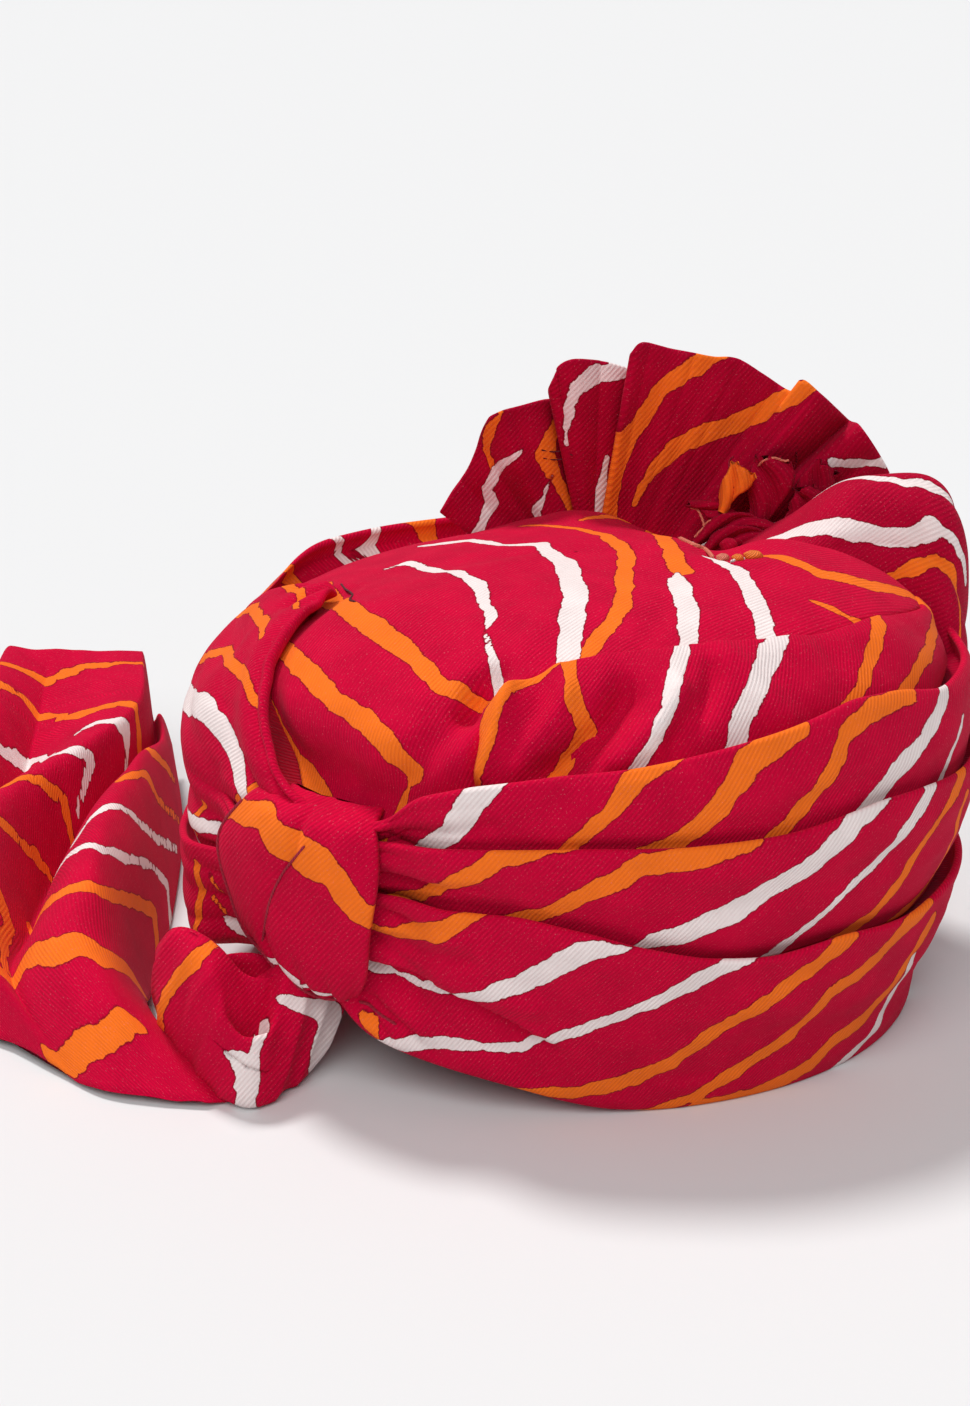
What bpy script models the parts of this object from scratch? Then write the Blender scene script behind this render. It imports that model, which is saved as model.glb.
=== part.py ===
"""A tied turban lying on a table: wound tiers of cloth round an open cap, a drape over
the front, a pleated fan, a cinching loop and a pleated tail. Tables are in millimetres
and degrees. Angle 0 faces the front (-Y) and grows towards +X, the turban's own left."""
import math

import bpy
import bmesh
import numpy as np
from mathutils import Vector

MM = 0.001
COLLECTION = "tied_turban_pagri"

# The turban's own centre, from the origin below the middle of the whole model
CENTRE_X = 60.7
CENTRE_Y = -37.2

# Outside of the wound cloth, before folds: rows of half_x, half_y, height
OUTSIDE = [
    (121.0, 96.0, 0.0),
    (128.0, 104.0, 26.0),
    (135.5, 112.0, 55.0),
    (140.0, 117.5, 84.0),
    (140.5, 119.0, 109.0),
    (133.0, 114.0, 133.0),
    (115.0, 100.0, 152.0),
    (83.0, 74.0, 166.0),
    (43.0, 39.0, 173.0),
    (0.5, 0.5, 175.0),
]

# Outside and inside of the cap: rows of half_x, half_y, height
CAP_OUTSIDE = [
    (100.0, 81.0, 0.0),
    (100.0, 81.0, 88.0),
    (109.0, 90.0, 108.0),
    (111.0, 92.0, 122.0),
    (105.0, 88.0, 137.0),
    (91.0, 77.0, 149.0),
    (66.0, 57.0, 158.0),
    (34.0, 30.0, 163.0),
    (0.0, 0.0, 164.5),
]
HEAD_HOLLOW = [
    (97.0, 78.0, 0.0),
    (97.0, 78.0, 78.0),
    (92.0, 74.0, 104.0),
    (79.0, 65.0, 127.0),
    (56.0, 48.0, 145.0),
    (28.0, 25.0, 154.0),
    (0.0, 0.0, 157.0),
]

# Angle between sections, and the angles of a whole ring
STEP = 6
RING = range(-180, 180, STEP)

# Gaps between tiers, and to the cap's side and crown, and where the crown's gap begins
GAP = 0.7
CAP_GAP = 0.5
CROWN_GAP = 1.8
CROWN_START = (88.0, 110.0)

# Smallest spacing of points on the cap, how far a tier's top and the drape's crest slope
# down to it, and how far the cap's lower edge stays above the rim
CAP_SPACING = 0.9
TUCK = 12.0
DRAPE_TUCK = 6.0
CAP_LIFT = 4.0

# Edges of the tiers, measured up along the outside: rows of angle, level
RIM_EDGE = [(-180, 0), (-112, 0), (-96, 14), (-80, 31), (-70, 40), (-60, 46), (-44, 42),
            (-36, 26), (-30, 20), (-20, 14), (-8, 8), (8, 3), (22, 0), (90, 0)]
LOWER_EDGE = [(-180, 64), (-120, 66), (-90, 69), (-75, 74), (-63, 79), (-48, 82), (-33, 85),
              (-24, 87), (-10, 87), (2, 81), (9, 76), (19, 69), (32, 65), (45, 66), (62, 61),
              (79, 63), (110, 62), (150, 63)]
MIDDLE_EDGE = [(-180, 104), (-130, 104), (-90, 102), (-70, 98), (-58, 97), (-48, 99), (-32, 106),
               (-20, 110), (2, 112), (17, 111), (32, 111), (48, 114), (58, 112), (70, 108),
               (100, 105), (140, 104)]
UPPER_EDGE = [(-180, 150), (-120, 148), (-108, 148), (-102, 156), (-96, 168), (-90, 184),
              (-84, 192), (-78, 187), (-71, 174), (-65, 159), (-57, 136), (-51, 119), (-44, 111),
              (-32, 112), (-27, 124), (-18, 130), (-4, 135), (8, 137), (22, 141), (34, 144),
              (47, 148), (58, 145), (67, 138), (89, 135), (105, 141), (120, 147), (150, 149)]
DRAPE_EDGE = [(-18, 158), (-12, 168), (-5, 177), (4, 182), (24, 183), (45, 178), (71, 169),
              (90, 153)]

# Outer faces, bottom to top: rows of share of the height, depth out from the outside
TIER_SECTION = [(0.0, -4.0), (0.12, -0.5), (0.35, 1.6), (0.6, 3.0), (0.82, 4.4), (0.94, 4.4),
                (1.0, 2.0)]
DRAPE_SECTION = [(0.25, -2.5), (0.6, -1.0), (0.88, 0.8), (1.0, 0.0)]

# Where the underside of a tier and of the drape begins on the slope of the tier below
TIER_START = 0.1
DRAPE_START = 0.22

# How far the loop draws the tiers in, and the angles over which that comes on and goes
PINCH = 7.0
PINCH_LEFT = (-80.0, -66.0)
PINCH_RIGHT = (-32.0, -20.0)

# Cinching loop, top to bottom: rows of level, left angle, right angle, depth out
LOOP_ROWS = [
    (112.0, -58.0, -32.0, -1.8),
    (95.0, -63.0, -32.5, -1.7),
    (74.0, -65.0, -34.0, -1.7),
    (55.0, -62.0, -36.0, -2.2),
    (42.0, -58.0, -39.0, -4.0),
    (37.0, -56.0, -41.0, -8.0),
]
LOOP_THICKNESS = 3.0
LOOP_ACROSS = 7

# Shoulder behind the drape: rows of angle, then level and depth out of its lower edge,
# of its ridge and of its upper edge
SHOULDER_ROWS = [
    (36, 186, -1, 196, 1, 208, -2),
    (54, 178, 0.5, 194, 6, 212, -1),
    (72, 170, 0.9, 187, 14, 214, 0),
    (84, 158, 2.5, 174, 23, 212, 2),
    (96, 139, 4.8, 163, 30, 206, 6),
    (108, 126, 4.8, 163, 29, 202, 6),
    (120, 120, 3.4, 156, 15, 183, -5),
    (138, 119, 3.0, 152, 10, 178, -6),
    (162, 120, 3.0, 146, 7, 168, -2),
]
SHOULDER_THICKNESS = 3.0
SHOULDER_ACROSS = 9

# Fan: the knot it opens from, rows of angle from +X and length for each fold, shares of
# the length that have points, then its foot's half width and height and its folds' depth
FAN_KNOT = (34.0, 66.0, 160.0)
FAN_ROWS = [
    (178, 82), (166, 78), (155, 74), (145, 70), (134, 60), (124, 66), (114, 62), (103, 57),
    (97, 64), (87, 61), (77, 60), (69, 62), (61, 64), (52, 64), (43, 71), (34, 74), (24, 79),
    (14, 83),
]
FAN_SHARES = (0.0, 0.35, 0.7, 1.0)
FAN_INNER = 20.0
FAN_FOOT = 154.3
FAN_FOLD = 6.5
FAN_LEAN = 0.12
FAN_THICKNESS = 1.6

# Raw cut ends in front of the fan: rows of x and height of each tip, then of its foot
TUFT_TIPS = [(40, 172), (46, 180), (52, 177), (60, 188), (68, 182), (76, 190), (84, 184), (92, 187)]
TUFT_FOOT = [(90, 176), (64, 153.5), (44, 158), (37, 166)]
TUFT_Y = 44.0
TUFT_NOTCH = 8.0
TUFT_THICKNESS = 6.0

# Turn of the tail below the loop: rows of x, y, lowest, highest, half thickness
TURN_ROWS = [
    (-84.0, -69.0, 16.0, 33.0, 5.0),
    (-98.0, -76.0, 3.0, 38.5, 7.0),
    (-113.0, -82.0, 0.0, 40.0, 7.5),
    (-126.0, -75.0, 0.0, 54.0, 7.0),
    (-137.0, -66.0, 2.0, 54.0, 6.0),
    (-143.0, -55.0, 8.0, 42.0, 3.0),
]
TURN_SIDES = 12

# Tail on the table, near end to far end: rows of right x, right y, right height, left x,
# left y, then the share across of crest, valley, crest, valley, crest, and their heights
TAIL_ROWS = [
    (-117.0, -94.0, 1.8, -240.0, -30.0, 0.24, 0.44, 0.66, 0.80, 0.90, 4.2, 2.6),
    (-147.0, -63.0, 19.0, -262.0, -4.0, 0.24, 0.45, 0.65, 0.78, 0.88, 37.0, 19.0),
    (-153.0, -16.0, 4.0, -264.0, 35.0, 0.21, 0.44, 0.65, 0.79, 0.90, 49.0, 16.0),
    (-153.0, 40.0, 1.6, -267.0, 80.0, 0.19, 0.40, 0.56, 0.73, 0.88, 50.0, 16.0),
    (-155.0, 95.0, 1.6, -265.0, 125.0, 0.17, 0.30, 0.42, 0.64, 0.84, 50.0, 21.0),
    (-161.0, 145.0, 7.0, -260.0, 163.0, 0.12, 0.22, 0.34, 0.58, 0.80, 51.0, 31.0),
    (-168.0, 188.0, 23.0, -254.0, 198.0, 0.07, 0.16, 0.28, 0.54, 0.78, 54.0, 45.0),
]
TAIL_THICKNESS = 2.4
TAIL_LEFT_HEIGHT = 1.8
TAIL_STATIONS = 14

CLOTH = (0.55, 0.0, 0.03)
STRIPE = (0.9, 0.22, 0.02)


def clear_scene():
    """Remove the objects that a new file starts with."""
    for obj in list(bpy.data.objects):
        bpy.data.objects.remove(obj, do_unlink=True)


def smooth_row(rows, place):
    """Row of the table at a fractional place, on a Catmull-Rom curve."""
    last = len(rows) - 1
    place = min(max(place, 0.0), float(last))
    first = min(int(place), last - 1)
    share = place - first
    here, after = np.array(rows[first], float), np.array(rows[first + 1], float)
    before = np.array(rows[first - 1], float) if first > 0 else 2 * here - after
    beyond = np.array(rows[first + 2], float) if first + 2 <= last else 2 * after - here
    return 0.5 * (2 * here + (after - before) * share
                  + (2 * before - 5 * here + 4 * after - beyond) * share ** 2
                  + (3 * here - before - 3 * after + beyond) * share ** 3)


def smooth_table(rows, key):
    """All columns of a table at a value of its first column."""
    keys = [row[0] for row in rows]
    return smooth_row(rows, float(np.interp(key, keys, range(len(rows)))))


def edge_level(rows, angle):
    """Level of a tier's edge at an angle, on a table that closes on itself."""
    low, high = rows[0], rows[-1]
    closed = [(high[0] - 360, high[1])] + list(rows) + [(low[0] + 360, low[1])]
    level = np.interp(angle, [row[0] for row in closed], [row[1] for row in closed])
    return float(level)


def measure_outside():
    """Distance up along the outside at fractional places of its table."""
    places = np.linspace(0, len(OUTSIDE) - 1, 1500)
    rows = np.array([smooth_row(OUTSIDE, place) for place in places])
    path = np.stack([(rows[:, 0] + rows[:, 1]) / 2, rows[:, 2]], axis=1)
    steps = np.linalg.norm(np.diff(path, axis=0), axis=1)
    return places, np.concatenate([[0.0], np.cumsum(steps)])


PLACES, LEVELS = measure_outside()


def radius_height(angle, level):
    """Distance from the axis and height of the outside."""
    half_x, half_y, height = smooth_row(OUTSIDE, float(np.interp(level, LEVELS, PLACES)))
    turn = math.radians(angle)
    radius = 1.0 / math.hypot(math.sin(turn) / half_x, math.cos(turn) / half_y)
    return radius, height


def polar(angle, radius, height):
    """Point at an angle round the axis."""
    turn = math.radians(angle)
    return Vector((radius * math.sin(turn), -radius * math.cos(turn), height))


def outside(angle, level, depth=0.0):
    """Point on the outside of the wound cloth, pushed out by a depth."""
    radius, height = radius_height(angle, level)
    low = radius_height(angle, max(level - 0.5, 0.0))
    high = radius_height(angle, min(level + 0.5, float(LEVELS[-1])))
    slope = Vector((high[0] - low[0], high[1] - low[1])).normalized()
    return polar(angle, radius + depth * slope.y, height - depth * slope.x)


def cap_radius(rows, angle, height):
    """Distance of the cap from the axis at a height."""
    heights = [row[2] for row in rows]
    half_x = float(np.interp(height, heights, [row[0] for row in rows]))
    half_y = float(np.interp(height, heights, [row[1] for row in rows]))
    turn = math.radians(angle)
    if half_x <= 0.0:
        return 0.0
    return 1.0 / math.hypot(math.sin(turn) / half_x, math.cos(turn) / half_y)


def ramp(value, ends):
    """Smooth share from 0 to 1 between two ends."""
    share = min(max((value - ends[0]) / (ends[1] - ends[0]), 0.0), 1.0)
    return share * share * (3.0 - 2.0 * share)


def on_cap(angle, height):
    """Point a gap outside the cap, wider where the cap's side turns into its crown."""
    radius = cap_radius(CAP_OUTSIDE, angle, height)
    spread = cap_radius(CAP_OUTSIDE, angle, height + 1.0) - radius
    gap = CAP_GAP + (CROWN_GAP - CAP_GAP) * ramp(height, CROWN_START)
    slope = Vector((spread, 1.0)).normalized()
    return polar(angle, radius + gap * slope.y, height - gap * slope.x)


def cap_side(angle, top, bottom):
    """Points down the cap between two heights, with one at each corner of its profile."""
    corners = [row[2] for row in CAP_OUTSIDE[1:-2]]
    last = len(corners) - 1
    spacing = min(CAP_SPACING, (top - bottom) / (last + 3))
    heights = [top]
    for index in range(last, -1, -1):
        highest = top - spacing * (last - index + 1)
        lowest = bottom + spacing * (index + 1)
        heights.append(max(lowest, min(highest, corners[index])))
    heights.append(bottom)
    return [on_cap(angle, height) for height in heights]


def pinch(angle):
    """How far the tiers are drawn in below the loop."""
    return PINCH * ramp(angle, PINCH_LEFT) * (1.0 - ramp(angle, PINCH_RIGHT))


def new_object(name, mesh, collection, base, material):
    """Link a mesh as a named object with its own material."""
    obj = bpy.data.objects.new(name, mesh)
    obj.parent = base
    mesh.materials.append(material)
    collection.objects.link(obj)
    return obj


def cloth_material(name, colour):
    """Plain matt cotton."""
    material = bpy.data.materials.new(name)
    material.use_nodes = True
    shader = material.node_tree.nodes["Principled BSDF"]
    shader.inputs["Base Color"].default_value = (*colour, 1.0)
    shader.inputs["Roughness"].default_value = 0.85
    shader.inputs["Metallic"].default_value = 0.0
    return material


def loft(name, sections, closed):
    """Closed skin through sections of equally many points, capped where it is open."""
    mesh = bmesh.new()
    rings = [[mesh.verts.new(point * MM) for point in section] for section in sections]
    count = len(rings[0])
    pairs = list(zip(rings, rings[1:]))
    if closed:
        pairs.append((rings[-1], rings[0]))
    for ring, after in pairs:
        for side in range(count):
            other = (side + 1) % count
            mesh.faces.new((ring[side], ring[other], after[other], after[side]))
    if not closed:
        mesh.faces.new(rings[0])
        mesh.faces.new(rings[-1])
    bmesh.ops.recalc_face_normals(mesh, faces=mesh.faces[:])
    data = bpy.data.meshes.new(name)
    mesh.to_mesh(data)
    mesh.free()
    return data


def sheet(name, rows, thickness, side):
    """Wall of even thickness grown from a grid of points to one side of it."""
    mesh = bmesh.new()
    grid = [[mesh.verts.new(point * MM) for point in row] for row in rows]
    for row, after in zip(grid, grid[1:]):
        for place in range(len(row) - 1):
            mesh.faces.new((row[place], row[place + 1], after[place + 1], after[place]))
    bmesh.ops.recalc_face_normals(mesh, faces=mesh.faces[:])
    mesh.faces.ensure_lookup_table()
    if mesh.faces[0].normal.dot(side) < 0.0:
        bmesh.ops.reverse_faces(mesh, faces=mesh.faces[:])
    data = bpy.data.meshes.new(name)
    mesh.to_mesh(data)
    mesh.free()
    return data


def add_wall(obj, thickness, offset):
    """Give an open sheet its thickness."""
    wall = obj.modifiers.new("wall", "SOLIDIFY")
    wall.thickness = thickness * MM
    wall.offset = offset


def tier_top(angle, rows):
    """Outer end of a tier's sloping top, and the height of its inner end on the cap."""
    outer = outside(angle, edge_level(rows, angle), TIER_SECTION[-1][1] - pinch(angle))
    return outer, max(outer.z - TUCK, 0.0)


def tier_section(angle, low_rows, high_rows, rests_on_rim):
    """Section of one wound tier: outer face upwards, sloping top, inner face, underside."""
    low, high = edge_level(low_rows, angle), edge_level(high_rows, angle)
    drawn_in = pinch(angle)
    outer = [outside(angle, low + share * (high - low), depth - drawn_in)
             for share, depth in TIER_SECTION]
    inner_top = tier_top(angle, high_rows)[1]
    top_middle = outer[-1].lerp(on_cap(angle, inner_top), 0.5)
    if rests_on_rim:
        floor = outside(angle, low).z
        outer[0].z = floor
        inner = [on_cap(angle, z) for z in (inner_top, 0.5 * (floor + inner_top), floor)]
        return outer + [top_middle] + inner
    lower_outer, lower_top = tier_top(angle, low_rows)
    rise = Vector((0.0, 0.0, GAP))
    inner = cap_side(angle, inner_top, lower_top + GAP)
    outer[0] = lower_outer.lerp(on_cap(angle, lower_top), TIER_START) + rise
    return outer + [top_middle] + inner + [outer[0].lerp(inner[-1], 0.5)]


def build_cap():
    """Open cap round the head hollow, with its lower edge inside the lowest tier."""
    sections = []
    for angle in RING:
        foot = outside(angle, edge_level(RIM_EDGE, angle)).z + CAP_LIFT
        outer_heights = [foot] + [row[2] for row in CAP_OUTSIDE[1:-1]]
        inner_heights = [foot] + [row[2] for row in HEAD_HOLLOW[1:-1]]
        outer = [polar(angle, cap_radius(CAP_OUTSIDE, angle, z), z) for z in outer_heights]
        inner = [polar(angle, cap_radius(HEAD_HOLLOW, angle, z), z) for z in inner_heights]
        sections.append((outer, inner))
    mesh = bmesh.new()
    outer_rings = [[mesh.verts.new(point * MM) for point in outer] for outer, _ in sections]
    inner_rings = [[mesh.verts.new(point * MM) for point in inner] for _, inner in sections]
    outer_top = mesh.verts.new((0.0, 0.0, CAP_OUTSIDE[-1][2] * MM))
    inner_top = mesh.verts.new((0.0, 0.0, HEAD_HOLLOW[-1][2] * MM))
    for index in range(len(sections)):
        after = (index + 1) % len(sections)
        for rings in (outer_rings, inner_rings):
            for level in range(len(rings[0]) - 1):
                mesh.faces.new((rings[index][level], rings[after][level],
                                rings[after][level + 1], rings[index][level + 1]))
        mesh.faces.new((outer_rings[index][-1], outer_rings[after][-1], outer_top))
        mesh.faces.new((inner_rings[index][-1], inner_rings[after][-1], inner_top))
        mesh.faces.new((outer_rings[index][0], outer_rings[after][0],
                        inner_rings[after][0], inner_rings[index][0]))
    bmesh.ops.recalc_face_normals(mesh, faces=mesh.faces[:])
    data = bpy.data.meshes.new("cap")
    mesh.to_mesh(data)
    mesh.free()
    return data


def build_drape():
    """Loose layer over the front, from the upper tier's edge to its own folded top."""
    sections = []
    for angle in range(DRAPE_EDGE[0][0], DRAPE_EDGE[-1][0] + 1, STEP):
        outer_low, tuck = tier_top(angle, UPPER_EDGE)
        base = outer_low.lerp(on_cap(angle, tuck), DRAPE_START) + Vector((0.0, 0.0, GAP))
        low = edge_level(UPPER_EDGE, angle)
        high = float(np.interp(angle, [row[0] for row in DRAPE_EDGE],
                               [row[1] for row in DRAPE_EDGE]))
        face = [outside(angle, low + share * (high - low), depth)
                for share, depth in DRAPE_SECTION]
        under = cap_side(angle, face[-1].z - DRAPE_TUCK, tuck + GAP)
        sections.append([base] + face + under)
    return loft("drape", sections, closed=False)


def build_shoulder():
    """Puffed layer from the fan's foot over the back right side."""
    rows = []
    for angle in range(SHOULDER_ROWS[0][0], SHOULDER_ROWS[-1][0] + 1, STEP):
        row = smooth_table(SHOULDER_ROWS, angle)
        spine = [tuple(row[1:3]), tuple(row[3:5]), tuple(row[5:7])]
        places = np.linspace(0.0, 2.0, SHOULDER_ACROSS)
        rows.append([outside(angle, *smooth_row(spine, place)) for place in places])
    return sheet("shoulder", rows, SHOULDER_THICKNESS, Vector((1.0, 0.0, 0.3)))


def build_loop():
    """Band that cinches the tiers, tucked in at its top and its bottom."""
    rows = []
    for level, left, right, depth in LOOP_ROWS:
        angles = np.linspace(left, right, LOOP_ACROSS)
        rows.append([outside(angle, level, depth) for angle in angles])
    return sheet("loop", rows, LOOP_THICKNESS, Vector((-0.7, -0.7, 0.0)))


def build_fan():
    """Pleated fan: straight folds from the knot, alternately forward and back."""
    knot = Vector(FAN_KNOT)
    rows = []
    for index, (angle, length) in enumerate(FAN_ROWS):
        turn = math.radians(angle)
        along = Vector((math.cos(turn), 0.0, math.sin(turn)))
        fold = FAN_FOLD if index % 2 else -FAN_FOLD
        row = []
        for share in FAN_SHARES:
            reach = FAN_INNER + share * (length - FAN_INNER)
            point = knot + along * reach
            point.y += fold * share + FAN_LEAN * reach * math.sin(turn)
            if share == 0.0:
                point.z = FAN_FOOT
            row.append(point)
        rows.append(row)
    return sheet("fan", rows, FAN_THICKNESS, Vector((0.0, -1.0, 0.0)))


def build_tuft():
    """Flat bunch of cut ends, a point for each, standing on a common foot."""
    outline = []
    for index, (x, height) in enumerate(TUFT_TIPS):
        outline.append((x, height))
        if index + 1 < len(TUFT_TIPS):
            after = TUFT_TIPS[index + 1]
            outline.append((0.5 * (x + after[0]), min(height, after[1]) - TUFT_NOTCH))
    outline.extend(TUFT_FOOT)
    sections = []
    for y in (TUFT_Y, TUFT_Y + TUFT_THICKNESS):
        sections.append([Vector((x, y, height)) for x, height in outline])
    return loft("fan_tuft", sections, closed=False)


def build_turn():
    """Bend of the tail below the loop, standing on the table."""
    centres = [Vector((row[0], row[1])) for row in TURN_ROWS]
    sections = []
    for index, (x, y, lowest, highest, half) in enumerate(TURN_ROWS):
        before, after = centres[max(index - 1, 0)], centres[min(index + 1, len(centres) - 1)]
        along = (after - before).normalized()
        across = Vector((along.y, -along.x))
        section = []
        for side in range(TURN_SIDES):
            turn = 2.0 * math.pi * side / TURN_SIDES
            swing = half * math.cos(turn)
            middle, rise = 0.5 * (lowest + highest), 0.5 * (highest - lowest)
            height = middle + rise * math.sin(turn)
            section.append(Vector((x + across.x * swing, y + across.y * swing, height)))
        sections.append(section)
    return loft("tail_turn", sections, closed=False)


def build_tail():
    """Pleated strip on the table."""
    rows = []
    for place in np.linspace(0.0, len(TAIL_ROWS) - 1, TAIL_STATIONS):
        row = smooth_row(TAIL_ROWS, place)
        right = Vector((row[0], row[1], 0.0))
        left = Vector((row[3], row[4], 0.0))
        crest, valley = row[10], row[11]
        knots = [(0.0, row[2])]
        for index, share in enumerate(row[5:10]):
            knots.append((share, crest if index % 2 == 0 else valley))
        knots.append((1.0, TAIL_LEFT_HEIGHT))
        points = []
        for index, (share, height) in enumerate(knots):
            point = right.lerp(left, share)
            point.z = height
            points.append(point)
            if index + 1 < len(knots):
                after = knots[index + 1]
                middle = right.lerp(left, 0.5 * (share + after[0]))
                middle.z = 0.5 * (height + after[1])
                points.append(middle)
        rows.append(points)
    return sheet("tail", rows, TAIL_THICKNESS, Vector((0.0, 0.0, 1.0)))


def build():
    """Make every piece in one collection, hung on the turban's centre."""
    clear_scene()
    collection = bpy.data.collections.new(COLLECTION)
    bpy.context.scene.collection.children.link(collection)
    base = bpy.data.objects.new("turban_centre", None)
    base.location = (CENTRE_X * MM, CENTRE_Y * MM, 0.0)
    collection.objects.link(base)

    tiers = (("wrap_lower", RIM_EDGE, LOWER_EDGE, True),
             ("wrap_middle", LOWER_EDGE, MIDDLE_EDGE, False),
             ("wrap_upper", MIDDLE_EDGE, UPPER_EDGE, False))
    meshes = {"cap": build_cap()}
    for name, low, high, rests in tiers:
        sections = [tier_section(angle, low, high, rests) for angle in RING]
        meshes[name] = loft(name, sections, closed=True)
    meshes["drape"] = build_drape()
    meshes["shoulder"] = build_shoulder()
    meshes["loop"] = build_loop()
    meshes["fan"] = build_fan()
    meshes["fan_tuft"] = build_tuft()
    meshes["tail_turn"] = build_turn()
    meshes["tail"] = build_tail()
    walls = {"shoulder": (SHOULDER_THICKNESS, 1.0), "loop": (LOOP_THICKNESS, 1.0),
             "fan": (FAN_THICKNESS, 0.0), "tail": (TAIL_THICKNESS, -1.0)}
    for name, mesh in meshes.items():
        colour = STRIPE if name == "fan_tuft" else CLOTH
        obj = new_object(name, mesh, collection, base, cloth_material(name, colour))
        if name in walls:
            add_wall(obj, *walls[name])


build()
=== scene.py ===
"""Looks of the tied turban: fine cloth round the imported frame, its printed stripes, seams,
threads, floor, light and camera. Shapes are in millimetres and degrees round the turban's
own centre. Angle 0 faces the front (-Y) and grows towards +X."""
import math

import bpy
import numpy as np
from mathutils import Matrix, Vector


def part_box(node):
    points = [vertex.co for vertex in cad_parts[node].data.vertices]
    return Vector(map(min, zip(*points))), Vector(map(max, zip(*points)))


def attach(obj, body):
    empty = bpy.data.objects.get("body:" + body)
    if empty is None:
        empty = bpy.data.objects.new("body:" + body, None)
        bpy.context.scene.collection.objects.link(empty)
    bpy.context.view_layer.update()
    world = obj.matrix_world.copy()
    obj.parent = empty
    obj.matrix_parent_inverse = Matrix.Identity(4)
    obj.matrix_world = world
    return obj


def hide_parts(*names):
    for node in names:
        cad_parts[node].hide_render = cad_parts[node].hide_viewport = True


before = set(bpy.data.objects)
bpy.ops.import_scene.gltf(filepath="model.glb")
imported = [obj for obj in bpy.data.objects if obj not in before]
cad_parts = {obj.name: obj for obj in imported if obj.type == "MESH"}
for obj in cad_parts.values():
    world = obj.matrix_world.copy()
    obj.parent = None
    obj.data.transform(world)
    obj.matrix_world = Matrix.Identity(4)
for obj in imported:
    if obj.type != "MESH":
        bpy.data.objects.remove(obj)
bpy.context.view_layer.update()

MM = 0.001
BODY = "root"

# The turban's own centre is the middle of its cap
cap_low, cap_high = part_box("cap")
CENTRE = np.array([(cap_low[0] + cap_high[0]) / 2, (cap_low[1] + cap_high[1]) / 2, 0.0]) / MM

# Photo and its camera: size and focal length in pixels, elevation, distance, target
PHOTO_SIZE = (970, 1406)
PHOTO_FOCAL = 2646.0
VIEW_ELEVATION = math.radians(22.0)
VIEW_DISTANCE = 945.0
VIEW_TARGET = np.array([-31.5, 0.0, 110.0])
SENSOR = 36.0
VIEW_BACK = np.array((0.0, -math.cos(VIEW_ELEVATION), math.sin(VIEW_ELEVATION)))
VIEW_UP = np.array((0.0, math.sin(VIEW_ELEVATION), math.cos(VIEW_ELEVATION)))
VIEW_EYE = VIEW_TARGET + VIEW_BACK * VIEW_DISTANCE
PIXELS_PER_MM = PHOTO_FOCAL / VIEW_DISTANCE

# Outside of the wound cloth, before folds: rows of half_x, half_y, height
OUTSIDE = [
    (121, 96, 0), (128, 104, 26), (135.5, 112, 55), (140, 117.5, 84), (140.5, 119, 109), (133, 114, 133),
    (115, 100, 152), (83, 74, 166), (43, 39, 173), (0.5, 0.5, 175),
]

# Outside and inside of the cap: rows of half_x, half_y, height
CAP_OUTSIDE = [
    (100, 81, 0), (100, 81, 88), (109, 90, 108), (111, 92, 122), (105, 88, 137), (91, 77, 149),
    (66, 57, 158), (34, 30, 163), (0, 0, 164.5),
]
HEAD_HOLLOW = [
    (97, 78, 0), (97, 78, 78), (92, 74, 104), (79, 65, 127), (56, 48, 145), (28, 25, 154), (0.5, 0.5, 157),
]

# Edges of the tiers, measured up along the outside: rows of angle, level
RIM_EDGE = [
    (-180, 0), (-112, 0), (-98, 7), (-86, 19), (-72, 36), (-60, 46), (-47, 42), (-43, 31), (-39, 24),
    (-31, 19), (-21, 16), (-11, 11), (-3, 6), (5, 2), (16, 0), (90, 0),
]
LOWER_EDGE = [
    (-180, 64), (-120, 66), (-90, 69), (-75, 74), (-63, 79), (-48, 82), (-33, 85), (-24, 87), (-10, 87),
    (2, 81), (9, 76), (19, 69), (32, 65), (45, 66), (62, 61), (79, 63), (110, 62), (150, 63),
]
MIDDLE_EDGE = [
    (-180, 104), (-130, 104), (-90, 102), (-70, 98), (-58, 97), (-48, 99), (-32, 106), (-20, 110),
    (2, 112), (17, 111), (32, 111), (48, 114), (58, 112), (70, 108), (100, 105), (140, 104),
]
UPPER_EDGE = [
    (-180, 150), (-120, 148), (-108, 148), (-102, 156), (-96, 168), (-90, 184), (-84, 192), (-78, 187),
    (-71, 174), (-65, 159), (-57, 136), (-51, 119), (-44, 111), (-32, 112), (-27, 124), (-18, 130),
    (-4, 135), (8, 137), (22, 141), (34, 144), (47, 148), (58, 145), (67, 138), (89, 135), (105, 141),
    (120, 147), (150, 149),
]
DRAPE_EDGE = [(-18, 158), (-12, 168), (-5, 177), (4, 182), (24, 183), (45, 178), (71, 169), (90, 153)]

# Outer face of a tier above the fold below it, and of the drape: share of height, depth out
TIER_SECTION = [(0, -1.6), (0.12, -0.4), (0.35, 1.6), (0.6, 3), (0.82, 4.3), (1, 4.3)]
RIM_SECTION = [(0, 2.4), (0.04, 3.2), (0.12, 3.3), (0.35, 2.6), (0.6, 3.2), (0.82, 4.3), (1, 4.3)]
DRAPE_SECTION = [(0, -3.6), (0.25, -2.5), (0.6, -1), (0.88, 0.8), (1, 0.6)]

# Flat cloth: millimetres of width for a degree round the tiers, and for a whole turn
ACROSS = 2.25
AROUND = 360.0 * ACROSS

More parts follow.
